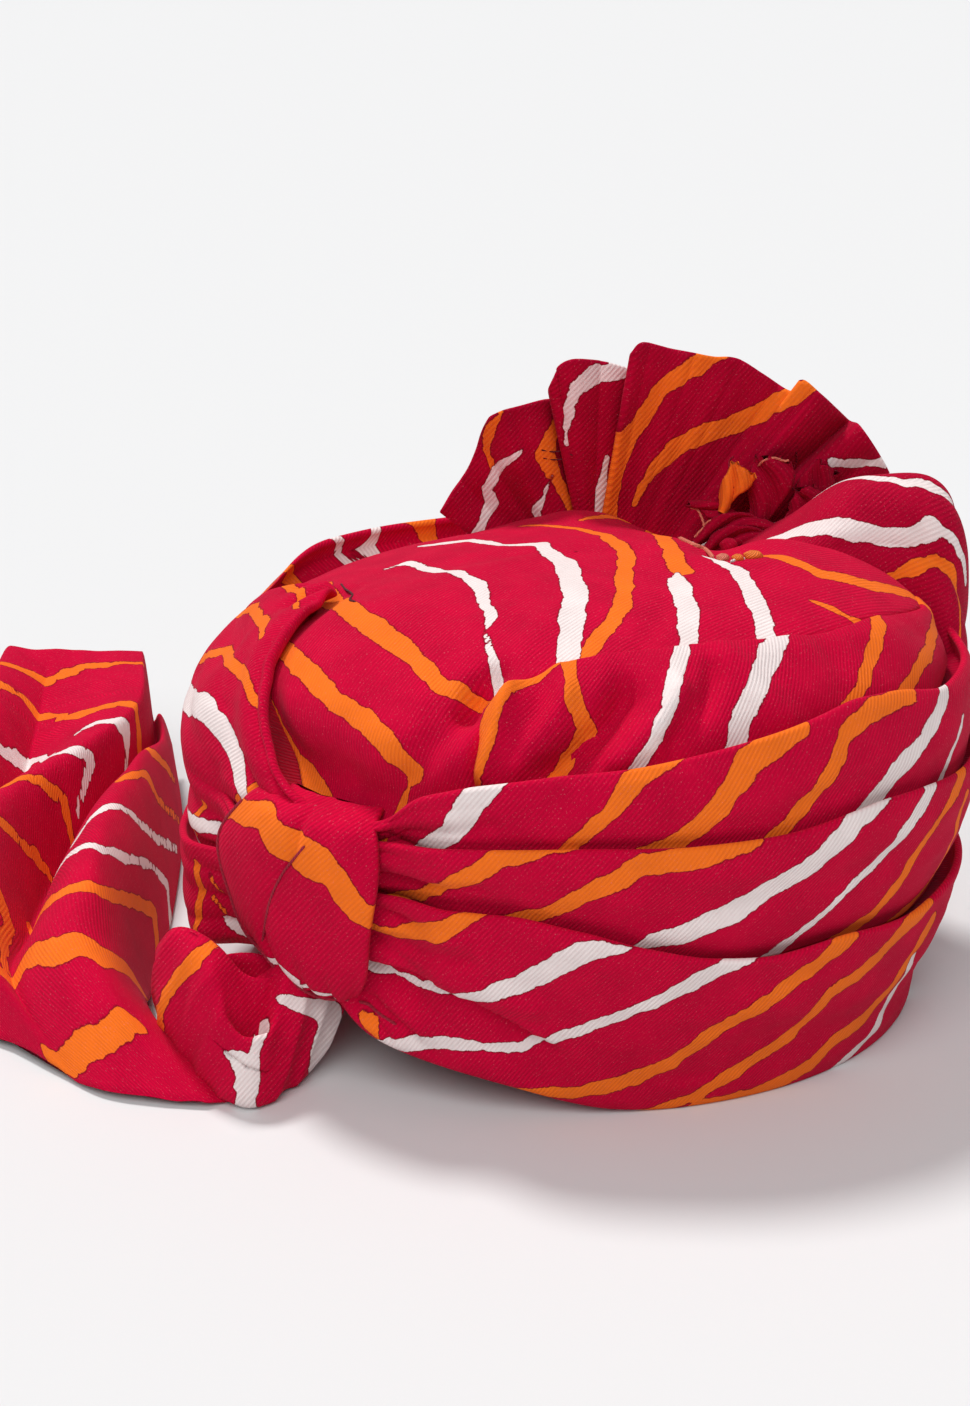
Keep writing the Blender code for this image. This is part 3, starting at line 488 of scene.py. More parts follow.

# Stripes, charted from the photo: for each piece and colour, x and y in the photo's
# pixels and width in millimetres along each
STRIPES = {
    ("lower_tier", "white"): [
        [(367, 965, 3), (423, 985, 3), (471, 997, 5), (520, 985, 8), (558, 965, 9), (590, 952, 8),
         (629, 948, 1)],
        [(386, 1051, 5), (447, 1043, 5), (520, 1048, 3.5), (556, 1039, 4), (626, 1014, 4.5),
         (665, 997, 5), (699, 980, 6), (732, 964, 7)],
        [(846, 1076, 4), (876, 1028, 4), (897, 990, 4)],
        [(231, 921, 2), (240, 927, 5), (248, 932, 2.4)],
    ],
    ("lower_tier", "orange"): [
        [(529, 1096, 3), (568, 1094, 5), (624, 1082, 7), (672, 1063, 6), (713, 1031, 6), (745, 1015, 6),
         (780, 993, 6), (825, 958, 7)],
        [(659, 1109, 4), (691, 1098, 5), (729, 1076, 5.5), (790, 1035, 5), (831, 993, 6), (863, 971, 6),
         (901, 932, 7), (911, 923, 7)],
        [(723, 1108, 6), (761, 1092, 8), (812, 1063, 7), (831, 1044, 6), (863, 1019, 7), (892, 987, 6),
         (914, 952, 5)],
        [(369, 927, 4), (398, 934, 5), (435, 931, 7), (457, 924, 6), (481, 912, 2)],
        [(201, 896, 3), (196, 926, 3)],
        [(213, 880, 2.4), (216, 886, 2.4)],
        [(216, 902, 2), (221, 907, 2)],
        [(364, 1018, 2), (370, 1026, 5), (375, 1033, 2)],
    ],
    ("middle_tier", "white"): [
        [(634, 948, 1), (653, 941, 6), (678, 937, 8), (697, 929, 8), (736, 911, 9), (783, 883, 8),
         (819, 860, 8), (838, 841, 8.5), (856, 822, 8), (870, 806, 7)],
        [(768, 961, 6), (809, 926, 4), (847, 891, 3), (879, 859, 4), (911, 824, 5), (921, 807, 6)],
        [(188, 818, 5), (214, 828, 4)],
        [(196, 842, 3), (186, 862, 4)],
    ],
    ("middle_tier", "orange"): [
        [(382, 901, 2.5), (420, 896, 4), (454, 883, 6), (486, 869, 7), (500, 858, 7), (541, 850, 4)],
        [(520, 918, 4), (556, 910, 6), (583, 895, 6), (624, 876, 8), (641, 866, 8), (681, 859, 8),
         (723, 850, 5)],
        [(844, 945, 7), (870, 917, 6), (911, 862, 4), (940, 818, 3), (957, 789, 5), (961, 770, 5)],
        [(911, 917, 5), (933, 885, 4), (957, 827, 4)],
        [(188, 830, 3), (190, 838, 3)],
    ],
    ("upper_tier", "white"): [
        [(434, 843, 6), (452, 830, 8), (466, 812, 9), (478, 796, 9), (487, 787, 8)],
        [(876, 798, 7), (895, 773, 7), (921, 744, 6), (937, 716, 5), (944, 690, 4)],
        [(937, 786, 3), (954, 748, 3), (962, 722, 2)],
        [(184, 695, 9), (207, 707, 9), (227, 735, 8), (236, 758, 6), (242, 790, 5)],
        [(339, 541, 3), (338, 556, 3)],
        [(376, 534, 4), (371, 555, 5), (374, 570, 5)],
    ],
    ("upper_tier", "orange"): [
        [(569, 848, 5), (583, 837, 5.5), (612, 810, 6), (631, 784, 7), (650, 770, 7)],
        [(640, 859, 6), (669, 846, 8), (704, 824, 8), (732, 789, 8), (750, 760, 9), (770, 746, 9)],
        [(768, 842, 6), (787, 824, 6), (828, 779, 6), (847, 732, 6), (870, 712, 7), (889, 703, 7)],
        [(238, 800, 2.4), (246, 795, 6), (253, 790, 2.4)],
        [(207, 652, 4), (227, 649, 5), (245, 675, 5), (256, 703, 2.4)],
        [(239, 609, 4), (253, 606, 5), (264, 621, 5), (262, 634, 2.4)],
        [(282, 573, 3), (293, 577, 4), (300, 592, 4), (296, 607, 2)],
        [(423, 527, 5), (430, 545, 5)],
    ],
    ("front_drape", "white"): [
        [(636, 769, 5), (656, 738, 5), (669, 712, 6), (675, 684, 6), (681, 641, 7)],
        [(734, 754, 8), (742, 725, 8), (758, 684, 8), (768, 658, 8), (777, 632, 8)],
    ],
    ("front_drape", "orange"): [
        [(471, 784, 7), (483, 744, 8), (494, 705, 8), (503, 684, 7), (526, 673, 5)],
        [(557, 778, 6), (572, 758, 6), (590, 726, 7), (574, 697, 6), (569, 664, 6)],
        [(838, 722, 5), (857, 693, 5), (870, 658, 5), (877, 618, 5)],
        [(912, 682, 5), (921, 661, 5), (931, 638, 5), (938, 618, 5), (935, 604, 5)],
    ],
    ("crown", "white"): [
        [(391, 567, 2), (408, 562, 4), (457, 572, 4), (477, 583, 5), (491, 618, 4), (486, 632, 1.5),
         (494, 667, 5)],
        [(451, 539, 3), (468, 537, 5), (500, 543, 3), (540, 543, 5), (566, 563, 8), (575, 595, 9),
         (569, 641, 8)],
        [(677, 575, 0.5), (678, 580, 7), (687, 611, 7), (688, 633, 7)],
        [(706, 556, 1), (720, 562, 3.5), (736, 570, 5), (752, 593, 6.5), (762, 621, 7)],
    ],
    ("crown", "orange"): [
        [(269, 638, 5), (299, 664, 8), (334, 701, 7), (371, 727, 8), (400, 758, 8), (417, 775, 7),
         (411, 783, 2), (400, 812, 5)],
        [(328, 595, 7), (354, 615, 8), (377, 629, 9), (414, 658, 7), (440, 687, 6), (477, 704, 6)],
        [(264, 729, 3), (291, 758, 5), (313, 781, 8), (325, 807, 9), (345, 830, 9)],
        [(522, 523, 2), (578, 526, 3), (606, 533, 5), (627, 558, 6), (623, 607, 6), (595, 642, 6)],
        [(601, 514, 3), (630, 518, 4), (652, 527, 5), (666, 541, 6), (676, 562, 7), (681, 571, 7),
         (681, 574, 0.5)],
        [(818, 603, 2), (848, 617, 4)],
        [(797, 562, 4), (819, 573, 5.5), (865, 584, 6.5), (900, 590, 5.5), (922, 594, 5)],
    ],
    ("shoulder_fold", "white"): [
        [(787, 535, 4), (823, 527, 7), (855, 531, 7), (888, 538, 7), (912, 536, 6.5), (935, 527, 6),
         (954, 540, 4), (963, 562, 3)],
        [(852, 479, 3), (868, 478, 4), (903, 482, 5), (930, 487, 4)],
    ],
    ("shoulder_fold", "orange"): [
        [(896, 575, 3), (915, 567, 4), (936, 561, 4), (951, 572, 4), (957, 592, 4), (960, 620, 3),
         (958, 650, 3)],
    ],
    ("cinching_loop", "white"): [
        [(266, 961, 1.5), (281, 971, 4.5), (294, 981, 4), (299, 986, 1.5)],
        [(306, 989, 2.4), (318, 993, 2.4), (330, 996, 1)],
    ],
    ("cinching_loop", "orange"): [
        [(237, 810, 6), (264, 816, 8), (274, 840, 9), (291, 850, 7)],
        [(298, 843, 7), (321, 860, 9), (338, 884, 9), (358, 911, 8), (369, 918, 6)],
    ],
    ("tail_bend", "white"): [
        [(231, 1053, 2.4), (240, 1058, 7), (247, 1072, 8), (248, 1088, 8), (246, 1103, 8)],
        [(263, 1022, 2), (260, 1036, 4), (254, 1052, 6)],
        [(316, 1008, 3), (330, 1012, 9), (330, 1026, 9), (326, 1036, 3)],
        [(338, 1042, 2), (332, 1052, 7), (326, 1066, 5), (322, 1074, 2)],
    ],
    ("tail_bend", "orange"): [
        [(214, 944, 3), (200, 954, 4.5), (186, 970, 4.5), (166, 995, 4), (154, 1019, 4), (157, 1036, 3)],
    ],
    ("pleated_tail", "white"): [
        [(76, 730, 2), (98, 722, 4), (118, 722, 5), (129, 735, 5), (128, 746, 3)],
        [(2, 749, 4.5), (32, 761, 5), (51, 752, 4), (74, 749, 5), (92, 760, 5), (89, 775, 4)],
        [(87, 823, 3), (101, 810, 4), (122, 808, 4), (142, 823, 4), (159, 838, 4), (172, 845, 4)],
        [(57, 862, 3), (78, 850, 4), (101, 849, 4), (128, 859, 4), (156, 867, 4), (170, 884, 4),
         (171, 902, 4)],
    ],
    ("pleated_tail", "orange"): [
        [(7, 664, 3), (20, 669, 4), (44, 681, 4), (68, 673, 4), (91, 665, 4), (140, 664, 2.4)],
        [(2, 684, 4), (24, 698, 4), (47, 717, 5), (71, 717, 5), (98, 708, 4), (118, 703, 4),
         (132, 703, 2.4)],
        [(3, 784, 3), (20, 779, 4), (44, 784, 5), (64, 803, 5), (70, 830, 3)],
        [(2, 823, 5), (20, 843, 5), (37, 857, 5), (47, 872, 4)],
        [(2, 903, 5), (9, 925, 5), (4, 952, 4)],
        [(139, 737, 5), (152, 752, 5), (174, 772, 3)],
        [(137, 774, 4), (147, 774, 4), (159, 799, 4), (174, 815, 3)],
        [(31, 920, 5), (51, 899, 6), (74, 889, 6), (101, 891, 6), (135, 901, 6), (155, 912, 6),
         (157, 935, 4)],
        [(2, 972, 6), (27, 957, 8), (57, 952, 9), (81, 944, 10), (101, 958, 9), (128, 967, 8),
         (141, 982, 4)],
        [(68, 1062, 8), (85, 1044, 9), (108, 1036, 7), (126, 1020, 8), (140, 1026, 5), (146, 1030, 0.5)],
    ],
    ("pleated_fan", "white"): [
        [(517, 454, 1), (494, 474, 4), (486, 489, 4), (492, 503, 4), (480, 527, 4)],
        [(550, 482, 1.5), (544, 497, 2.3), (535, 511, 2.5), (539, 518, 2)],
        [(622, 367, 4), (595, 373, 6.5), (578, 388, 5.5), (569, 404, 4), (566, 422, 3), (567, 437, 1.5)],
        [(607, 462, 1.2), (603, 483, 3), (598, 511, 5)],
        [(868, 463, 3), (884, 462, 3)],
    ],
    ("pleated_fan", "orange"): [
        [(500, 413, 2.5), (490, 431, 3), (487, 449, 3), (491, 465, 2)],
        [(552, 434, 3), (545, 452, 5.5), (549, 466, 5.5), (555, 477, 3)],
        [(709, 358, 7), (683, 373, 6.5), (662, 388, 6), (652, 406, 6), (631, 434, 6.5), (622, 452, 6),
         (617, 477, 5.5), (611, 509, 5.5)],
        [(808, 388, 5), (787, 396, 6), (757, 413, 8), (726, 428, 7), (696, 436, 6.5), (674, 449, 6),
         (653, 471, 4), (640, 489, 2.5), (636, 500, 1)],
    ],
}

# Stripes run on past their charted ends, in millimetres: narrow ones, wide ones, how wide,
# and how far off a stripe is where there is none
RUN_ON = (2.0, 13.0, 2.5)
FAR_OFF = 20.0

# Order of the stripes where the photo doesn't show them, how much their places and widths
# vary, and their places on the tiers: first and last angle, low and high level, lean, seed
PATTERN = ("white", "white", "orange", "orange", "orange")
STRIPE_WIDTH = 5.5
STRIPE_SPACING = 11.0
STRIPE_JITTER = 1.5
STRIPE_POINTS = 5
WIDTH_SHARES = (0.7, 1.3)
STRIPE_SWAY = 1.6
HIDDEN_STRIPES = {
    "lower_tier": [(82, 252, 0, 66, 0.8, 1)],
    "middle_tier": [(88, 256, 60, 106, 0.9, 2)],
    "upper_tier": [(92, 200, 100, 152, 0.8, 3), (202, 246, 100, 138, 0.8, 4)],
}

# The crown's hidden stripes: angles, outer and inner radius, turn for a millimetre of radius
CROWN_HIDDEN = (122.0, 232.0)
CROWN_RADII = (134.0, 90.0)
CROWN_TURN = 0.3
CROWN_SWAY = 0.015

# The tail's hidden stripes, left of the photo: first place along it, spacing, width, lean,
# how near cloth counts, how far they run on; the shoulder's: places across, length, lean
TAIL_HIDDEN = (12.0, 15.0, 5.0, 0.1)
TAIL_POINTS = 8
TAIL_NEAR = 4.0
TAIL_MARGIN = -10.0
TAIL_PAST = 6.0
SHOULDER_HIDDEN = (62.0, 78.0, 95.0, 112.0)
SHOULDER_POINTS = 9
SHOULDER_LENGTH = (-4.0, 175.0)
SHOULDER_LEAN = 0.06
SHOULDER_SWAY = 2.0

# Threads laid on pieces: piece, radius in millimetres, colour, and the photo's pixels along each
THREADS = [
    ("cinching_loop", 0.55, "red",
     [(243, 800), (232, 807), (221, 817), (215, 833), (214, 850), (216, 872), (222, 896), (230, 917),
      (243, 936), (257, 953), (268, 970), (284, 987), (302, 994), (325, 998), (350, 1001)]),
    ("cinching_loop", 0.45, "red",
     [(305, 846), (296, 857), (285, 869), (277, 884), (271, 900), (267, 916), (264, 930), (262, 944)]),
    ("lower_tier", 0.55, "red", [(358, 1002), (368, 1005), (380, 1012), (396, 1024)]),
    ("crown", 0.4, "dark", [(341, 584), (345, 589), (351, 592), (349, 598), (355, 602)]),
    ("pleated_fan", 0.3, "dark", [(541, 450), (552, 452), (565, 451), (573, 455)]),
    ("pleated_fan", 0.25, "dark", [(543, 458), (553, 460), (563, 459)]),
    ("raw_tuft", 0.45, "pale", [(758, 466), (764, 459), (773, 456), (786, 457), (792, 452)]),
    ("pleated_fan", 0.4, "red",
     [(796, 452), (796, 462), (790, 474), (786, 484), (797, 490), (808, 496), (815, 503)]),
    ("pleated_fan", 0.35, "red", [(730, 470), (729, 461), (734, 456)]),
    ("raw_tuft", 0.45, "pale", [(688, 511), (696, 518), (703, 524), (697, 530), (692, 535)]),
    ("raw_tuft", 0.4, "pale", [(703, 524), (710, 521), (717, 521)]),
    ("crown", 0.8, "pale", [(680, 534), (693, 543), (706, 549), (713, 557)]),
    ("crown", 0.6, "white", [(731, 563), (738, 560), (745, 558)]),
]
THREAD_COLOURS = {"red": (0.4, 0.0, 0.028), "dark": (0.12, 0.0, 0.01), "pale": (0.85, 0.22, 0.14),
                  "orange": (1.0, 0.22, 0.02), "white": (0.85, 0.74, 0.72)}
THREAD_LIFT = 0.45
THREAD_TIP = 0.4
THREAD_UP = (0.31, 0.22, 0.93)
THREAD_TWIST = (0.0011, (0.8, 0.6))
THREAD_DARK = 0.55
THREAD_ROUGHNESS = 0.7

# Knotted ends on the crown by the fan's foot: colour, then the photo's pixels of the middle
# and of half the width and height, and how far each lies off the cloth in half heights
KNOTS = [
    ("pale", 723, 556, 6.5, 4.2),
    ("orange", 737, 558, 6.0, 4.0),
    ("orange", 753, 556, 9.5, 5.0),
]
KNOT_OFF = np.array((0.0, -0.4, 0.7))
BALL_ENDS = 0.04
BALL_LUMPS = (0.07, 3.0, 4.0)

# How near a pixel and past the nearest, in pixels, and how far behind the front one, in
# millimetres, points are seen, and the pixels that soften their weights
SIGHT_WINDOW = 6.0
SIGHT_MARGIN = 2.0
SIGHT_SOFT = 0.5
SIGHT_DEPTH = 8.0

# Light from the upper left behind the turban and fill from in front: strength, angle of the
# source and direction; then the key's colour, the surround, the floor and, in metres, how near
# and how far off the camera sees
KEY = (2.2, math.radians(12.0), (0.32, -0.34, -1.0))
FILL_LIGHT = (1.6, math.radians(45.0), (0.12, 0.85, -1.0))
KEY_COLOUR = (1.0, 0.985, 0.97)
SURROUND = (0.96, 0.97, 1.0, 1.0)
SURROUND_STRENGTH = 0.26
FLOOR_RADIUS = 9.0
FLOOR_SIDES = 96
FLOOR_FINISH = {"Base Color": (0.72, 0.725, 0.73, 1.0), "Roughness": 0.9, "Specular IOR Level": 0.1}
SIGHT = (0.05, 60.0)


def smooth_rows(rows, places):
    """Rows of a table at fractional places, on a Catmull-Rom curve."""
    rows = np.asarray(rows, float)
    last = len(rows) - 1
    places = np.clip(np.asarray(places, float), 0.0, last)
    first = np.minimum(places.astype(int), last - 1)
    share = (places - first)[..., None]
    here, after = rows[first], rows[first + 1]
    before = np.where((first > 0)[..., None], rows[np.maximum(first - 1, 0)], 2 * here - after)
    beyond = np.where((first + 2 <= last)[..., None], rows[np.minimum(first + 2, last)],
                      2 * after - here)
    return 0.5 * (2 * here + (after - before) * share
                  + (2 * before - 5 * here + 4 * after - beyond) * share ** 2
                  + (3 * here - before - 3 * after + beyond) * share ** 3)


def spread_rows(rows, count):
    """Rows of a table at evenly spread places, from first to last."""
    return smooth_rows(rows, np.linspace(0.0, len(rows) - 1, count))


def smooth_table(rows, keys):
    """Second column of a table at values of its first column."""
    rows = np.asarray(rows, float)
    return smooth_rows(rows, np.interp(keys, rows[:, 0], np.arange(len(rows))))[..., 1]


def ramp(value, ends):
    """Smooth share from 0 to 1 between two ends."""
    share = np.clip((value - ends[0]) / (ends[1] - ends[0]), 0.0, 1.0)
    return share * share * (3.0 - 2.0 * share)


def between(value, rising, falling):
    """Smooth share that comes on between two ends and goes between two others."""
    return ramp(value, rising) * (1.0 - ramp(value, falling))


def unit(vectors):
    """Vectors of length one."""
    return vectors / np.maximum(np.linalg.norm(vectors, axis=-1, keepdims=True), 1e-9)


def distances(points):
    """Distance along a line of points of each of them."""
    steps = np.linalg.norm(np.diff(points, axis=0), axis=-1)
    return np.concatenate([np.zeros_like(steps[:1]), np.cumsum(steps, axis=0)])


def edge_level(rows, angles, rounding=EDGE_SOFT):
    """Level of a tier's edge at angles, with its corners rounded."""
    keys, levels = np.array(rows, float).T
    fine = np.arange(-240.0, 240.0 + EDGE_STEP, EDGE_STEP)
    level = np.interp(fine, np.concatenate([keys - 360, keys, keys + 360]), np.tile(levels, 3))
    reach = np.arange(-EDGE_REACH, EDGE_REACH + 1) * EDGE_STEP
    weight = np.exp(-0.5 * (reach / rounding) ** 2)
    padded = np.pad(level, EDGE_REACH, mode="edge")
    return np.interp(angles, fine, np.convolve(padded, weight / weight.sum(), mode="valid"))


def drape_top(angle):
    """Level of the drape's upper edge."""
    return np.interp(angle, *zip(*DRAPE_EDGE))


# Fine rows of the outside and the distance up along it of each
PROFILE = spread_rows(OUTSIDE, PROFILE_POINTS)
LEVELS = distances(np.stack([(PROFILE[:, 0] + PROFILE[:, 1]) / 2, PROFILE[:, 2]], axis=1))
TOP_LEVEL = float(LEVELS[-1])


def radius_of(half_x, half_y, turn):
    """Distance of an ellipse from its middle at an angle."""
    return 1.0 / np.hypot(np.sin(turn) / half_x, np.cos(turn) / half_y)


def radius_height(turn, level):
    """Distance from the axis and height of the outside."""
    half_x, half_y, height = (np.interp(level, LEVELS, column) for column in PROFILE.T)
    return radius_of(half_x, half_y, turn), height


def polar(turn, radius, height):
    """Points at angles round the axis."""
    turn, radius, height = np.broadcast_arrays(turn, radius, height)
    return np.stack([radius * np.sin(turn), -radius * np.cos(turn), height], axis=-1)


def outside(angle, level, depth=0.0):
    """Points on the outside of the wound cloth, pushed out by a depth."""
    turn = np.radians(angle)
    radius, height = radius_height(turn, level)
    low = radius_height(turn, np.maximum(level - SLOPE_STEP, 0.0))
    high = radius_height(turn, np.minimum(level + SLOPE_STEP, TOP_LEVEL))
    across, rise = high[0] - low[0], high[1] - low[1]
    length = np.hypot(across, rise)
    return polar(turn, radius + depth * rise / length, height - depth * across / length)


def shell_points(rows, angle, height, gap=0.0):
    """Points of the cap's outside or hollow at angles and heights."""
    half_x, half_y, heights = np.array(rows).T
    turn = np.radians(angle)
    radius = radius_of(np.interp(height, heights, half_x), np.interp(height, heights, half_y), turn)
    return polar(turn, radius + gap, height)


def flat_round(angle, up):
    """Places on the flat cloth of points round the turban."""
    return np.stack(np.broadcast_arrays(angle * ACROSS, up), axis=-1)


def noise(u, v, size_u, size_v, seed, around=0.0):
    """Smooth random relief from -1 to 1 in cells of a given size."""
    cells = max(int(round(around / size_u)), 1) if around else NOISE_CELLS[0]
    step_u = around / cells if around else size_u
    table = np.random.default_rng(seed).uniform(-1.0, 1.0, (cells, NOISE_CELLS[1]))
    x, y = np.broadcast_arrays(u / step_u, v / size_v)
    column, row = np.floor(x).astype(int), np.floor(y).astype(int)
    x, y = x - column, y - row
    x, y = x * x * (3.0 - 2.0 * x), y * y * (3.0 - 2.0 * y)

    def corner(right, up):
        return table[(column + right) % cells, (row + up) % NOISE_CELLS[1]]

    low = corner(0, 0) * (1 - x) + corner(1, 0) * x
    high = corner(0, 1) * (1 - x) + corner(1, 1) * x
    return low * (1 - y) + high * y


def wrinkles(name, across, along, around=0.0):
    """Unevenness of a piece's cloth at places on it."""
    seed, rows = WRINKLES[name]
    return sum(height * noise(across + lean * along, along, size_u, size_v, seed + index, around)
               for index, (height, size_u, size_v, lean) in enumerate(rows))


def line_distance(flat, line, around=0.0):
    """Distance of places on the flat cloth from a line, less half its width there."""
    best = np.full(len(flat), np.inf)
    for start, end in zip(line, line[1:]):
        along = end[:2] - start[:2]
        offset = flat - start[:2]
        if around:
            offset[:, 0] = (offset[:, 0] + 0.5 * around) % around - 0.5 * around
        share = np.clip(offset @ along / max(float(along @ along), 1e-9), 0.0, 1.0)
        away = np.linalg.norm(offset - share[:, None] * along, axis=1)
        half = 0.5 * (start[2] + share * (end[2] - start[2]))
        best = np.minimum(best, away - half)
    return best


def relief_of(across, along, rows, stretch=1.0):
    """Height of soft ridges and hollows along lines on the flat cloth."""
    across, along = np.broadcast_arrays(across, along)
    flat = np.stack([across.ravel(), along.ravel()], axis=1)
    total = np.zeros(len(flat))
    for width, height, line in rows:
        points = np.array([(place * stretch, up, 0.0) for place, up in line])
        total += height * np.exp(-(line_distance(flat, points) / width) ** 2)
    return total.reshape(across.shape)


def crease_relief(angle, level, creases):
    """Height of creases and rolls on cloth round the turban."""
    return relief_of(angle * ACROSS, level, creases, ACROSS)


def fold_relief(angle, level, folds):
    """Cloth tucked in below folded edges, less and less further down."""
    total = 0.0 * level
    for drop, reach, line in folds:
        angles, levels = zip(*line)
        below = np.interp(angle, angles, levels) - level
        first, last = angles[0], angles[-1]
        there = between(angle, (first - FOLD_ENDS[0], first + FOLD_ENDS[0]), (last - FOLD_ENDS[1], last))
        total = total - drop * there * ramp(below, FOLD_STEP) * np.exp(-np.maximum(below, 0.0) / reach)
    return total


def fold_wave(place):
    """Round ridges and sharp valleys, from -1 to 1, one for each unit."""
    return 2.0 * np.abs(np.sin(math.pi * place)) ** RIDGE - 1.0


def grid_faces(rows, columns, wrap_rows=False, wrap_columns=False):
    """Corner numbers of the faces of a grid of points."""
    index = np.arange(rows * columns).reshape(rows, columns)
    if wrap_rows:
        index = np.vstack([index, index[:1]])
    if wrap_columns:
        index = np.hstack([index, index[:, :1]])
    corners = (index[:-1, :-1], index[1:, :-1], index[1:, 1:], index[:-1, 1:])
    return np.stack([corner.ravel() for corner in corners], axis=1).tolist()


def tube_faces(rows, columns):
    """Faces of a tube of points round each row, closed at both ends."""
    return grid_faces(rows, columns, wrap_columns=True) + [
        list(range(columns))[::-1], list(range((rows - 1) * columns, rows * columns))]


def flat_grid(rows, columns, along, across):
    """Places on the flat cloth of a grid of points with even steps."""
    return np.stack(np.meshgrid(np.arange(columns) * across, np.arange(rows) * along),
                    axis=-1).reshape(-1, 2)


def from_camera(points):
    """How far right and up the photo's camera sees points, for a distance of 1, and how far off."""
    sight = points - VIEW_EYE
    away = -(sight @ VIEW_BACK)
    return sight[..., 0] / away, sight @ VIEW_UP / away, away


class Piece:
    """A closed piece of cloth, with the place of each point on the flat cloth."""

    def __init__(self, name, points, faces, flat, around=0.0):
        self.name = name
        self.around = around
        self.points = np.asarray(points, float).reshape(-1, 3)
        flat = np.asarray(flat, float).reshape(-1, np.shape(flat)[-1])
        self.flat = flat[:, :2]
        self.lobe = np.round(flat[:, 2]).astype(int) if flat.shape[1] == 3 else np.zeros(len(flat), int)
        self.faces = faces
        self.mesh = bpy.data.meshes.new(name)
        self.turn_outwards()
        self.mesh.from_pydata(((self.points + CENTRE) * MM).tolist(), [], self.faces)
        self.mesh.shade_smooth()
        self.write_flat()
        self.object = bpy.data.objects.new(name, self.mesh)
        put_in_scene(self.object)
        self.look()

    def turn_outwards(self):
        """Reverse the faces if they enclose a negative volume."""
        volume = 0.0
        for size in {len(face) for face in self.faces}:
            faces = np.array([face for face in self.faces if len(face) == size])
            for corner in range(1, size - 1):
                a, b, c = (self.points[faces[:, i]] for i in (0, corner, corner + 1))
                volume += float((a * np.cross(b, c)).sum())
        if volume < 0.0:
            self.faces = [face[::-1] for face in self.faces]

    def write_flat(self):
        """Put the flat cloth's places in a UV map, in metres, mended across a seam."""
        corners = np.empty(len(self.mesh.loops), int)
        self.mesh.loops.foreach_get("vertex_index", corners)
        places = self.flat[corners]
        if self.around:
            sizes = [len(face) for face in self.faces]
            starts = np.concatenate([[0], np.cumsum(sizes)[:-1]])
            highest = np.repeat(np.maximum.reduceat(places[:, 0], starts), sizes)
            places[highest - places[:, 0] > 0.5 * self.around, 0] += self.around
        layer = self.mesh.uv_layers.new(name="flat")
        layer.data.foreach_set("uv", (places * MM).ravel())

    def look(self):
        """Where the photo's camera sees each point, how far off, and whether it faces it."""
        normals = np.empty(3 * len(self.points))
        self.mesh.vertex_normals.foreach_get("vector", normals)
        self.normals = normals.reshape(-1, 3)
        right, up, self.away = from_camera(self.points)
        self.pixels = np.stack([PHOTO_SIZE[0] / 2 + PHOTO_FOCAL * right,
                                PHOTO_SIZE[1] / 2 - PHOTO_FOCAL * up], axis=1)
        self.facing = (self.normals * (self.points - VIEW_EYE)).sum(axis=1) < 0.0

    def near_pixel(self, x, y):
        """Points of one lobe that the photo's camera sees about a pixel, and their weights."""
        off = np.hypot(self.pixels[:, 0] - x, self.pixels[:, 1] - y)
        near = self.facing & (off < max(SIGHT_WINDOW, off[self.facing].min() + SIGHT_MARGIN))
        near &= self.away < self.away[near].min() + SIGHT_DEPTH
        near = np.flatnonzero(near)
        near = near[self.lobe[near] == self.lobe[near[off[near].argmin()]]]
        return near, 1.0 / (off[near] + SIGHT_SOFT) ** 3

    def seen_at(self, x, y, values):
        """Mean of some values of the points that the photo's camera sees at a pixel."""
        near, weight = self.near_pixel(x, y)
        return (values[near] * weight[:, None]).sum(axis=0) / weight.sum()

    def paint(self, stripes):
        """Store each point's distance from the stripes of each colour."""
        for colour in ("white", "orange"):
            distance = np.full(len(self.points), FAR_OFF)
            for name, line, lobe in stripes:
                if name == colour:
                    there = np.flatnonzero(self.lobe == lobe)
                    away = line_distance(self.flat[there], np.asarray(line, float), self.around)
                    distance[there] = np.minimum(distance[there], away)
            values = self.mesh.attributes.new(colour, "FLOAT", "POINT")
            values.data.foreach_set("value", distance)


def put_in_scene(thing):
    """Link an object to the scene."""
    bpy.context.scene.collection.objects.link(thing)


def charted(piece):
    """The photo's stripes on a piece's flat cloth, run on a little at both ends."""
    lines = []
    for colour in INKS:
        for pixels in STRIPES.get((piece.name, colour), []):
            near, weight = piece.near_pixel(*pixels[len(pixels) // 2][:2])
            line = np.array([(*piece.seen_at(x, y, piece.flat), width) for x, y, width in pixels])
            for end, inner in ((0, 1), (-1, -2)):
                step = line[end, :2] - line[inner, :2]
                run = RUN_ON[int(line[end, 2] > RUN_ON[2])]
                line[end, :2] += step / max(float(np.hypot(*step)), 1e-6) * run
            lines.append((colour, line, int(piece.lobe[near[weight.argmax()]])))
    return lines


def repeated(random, starts, sway, width, count, route):
    """Stripes of the pattern's colours along routes from numbered starts, swaying and uneven."""
    lines = []
    for index, start in starts:
        swing = random.uniform(-sway, sway, count)
        widths = width * random.uniform(*WIDTH_SHARES, count)
        line = np.stack([*route(start, swing), widths], axis=1)
        lines.append((PATTERN[index % len(PATTERN)], line, 0))
    return lines


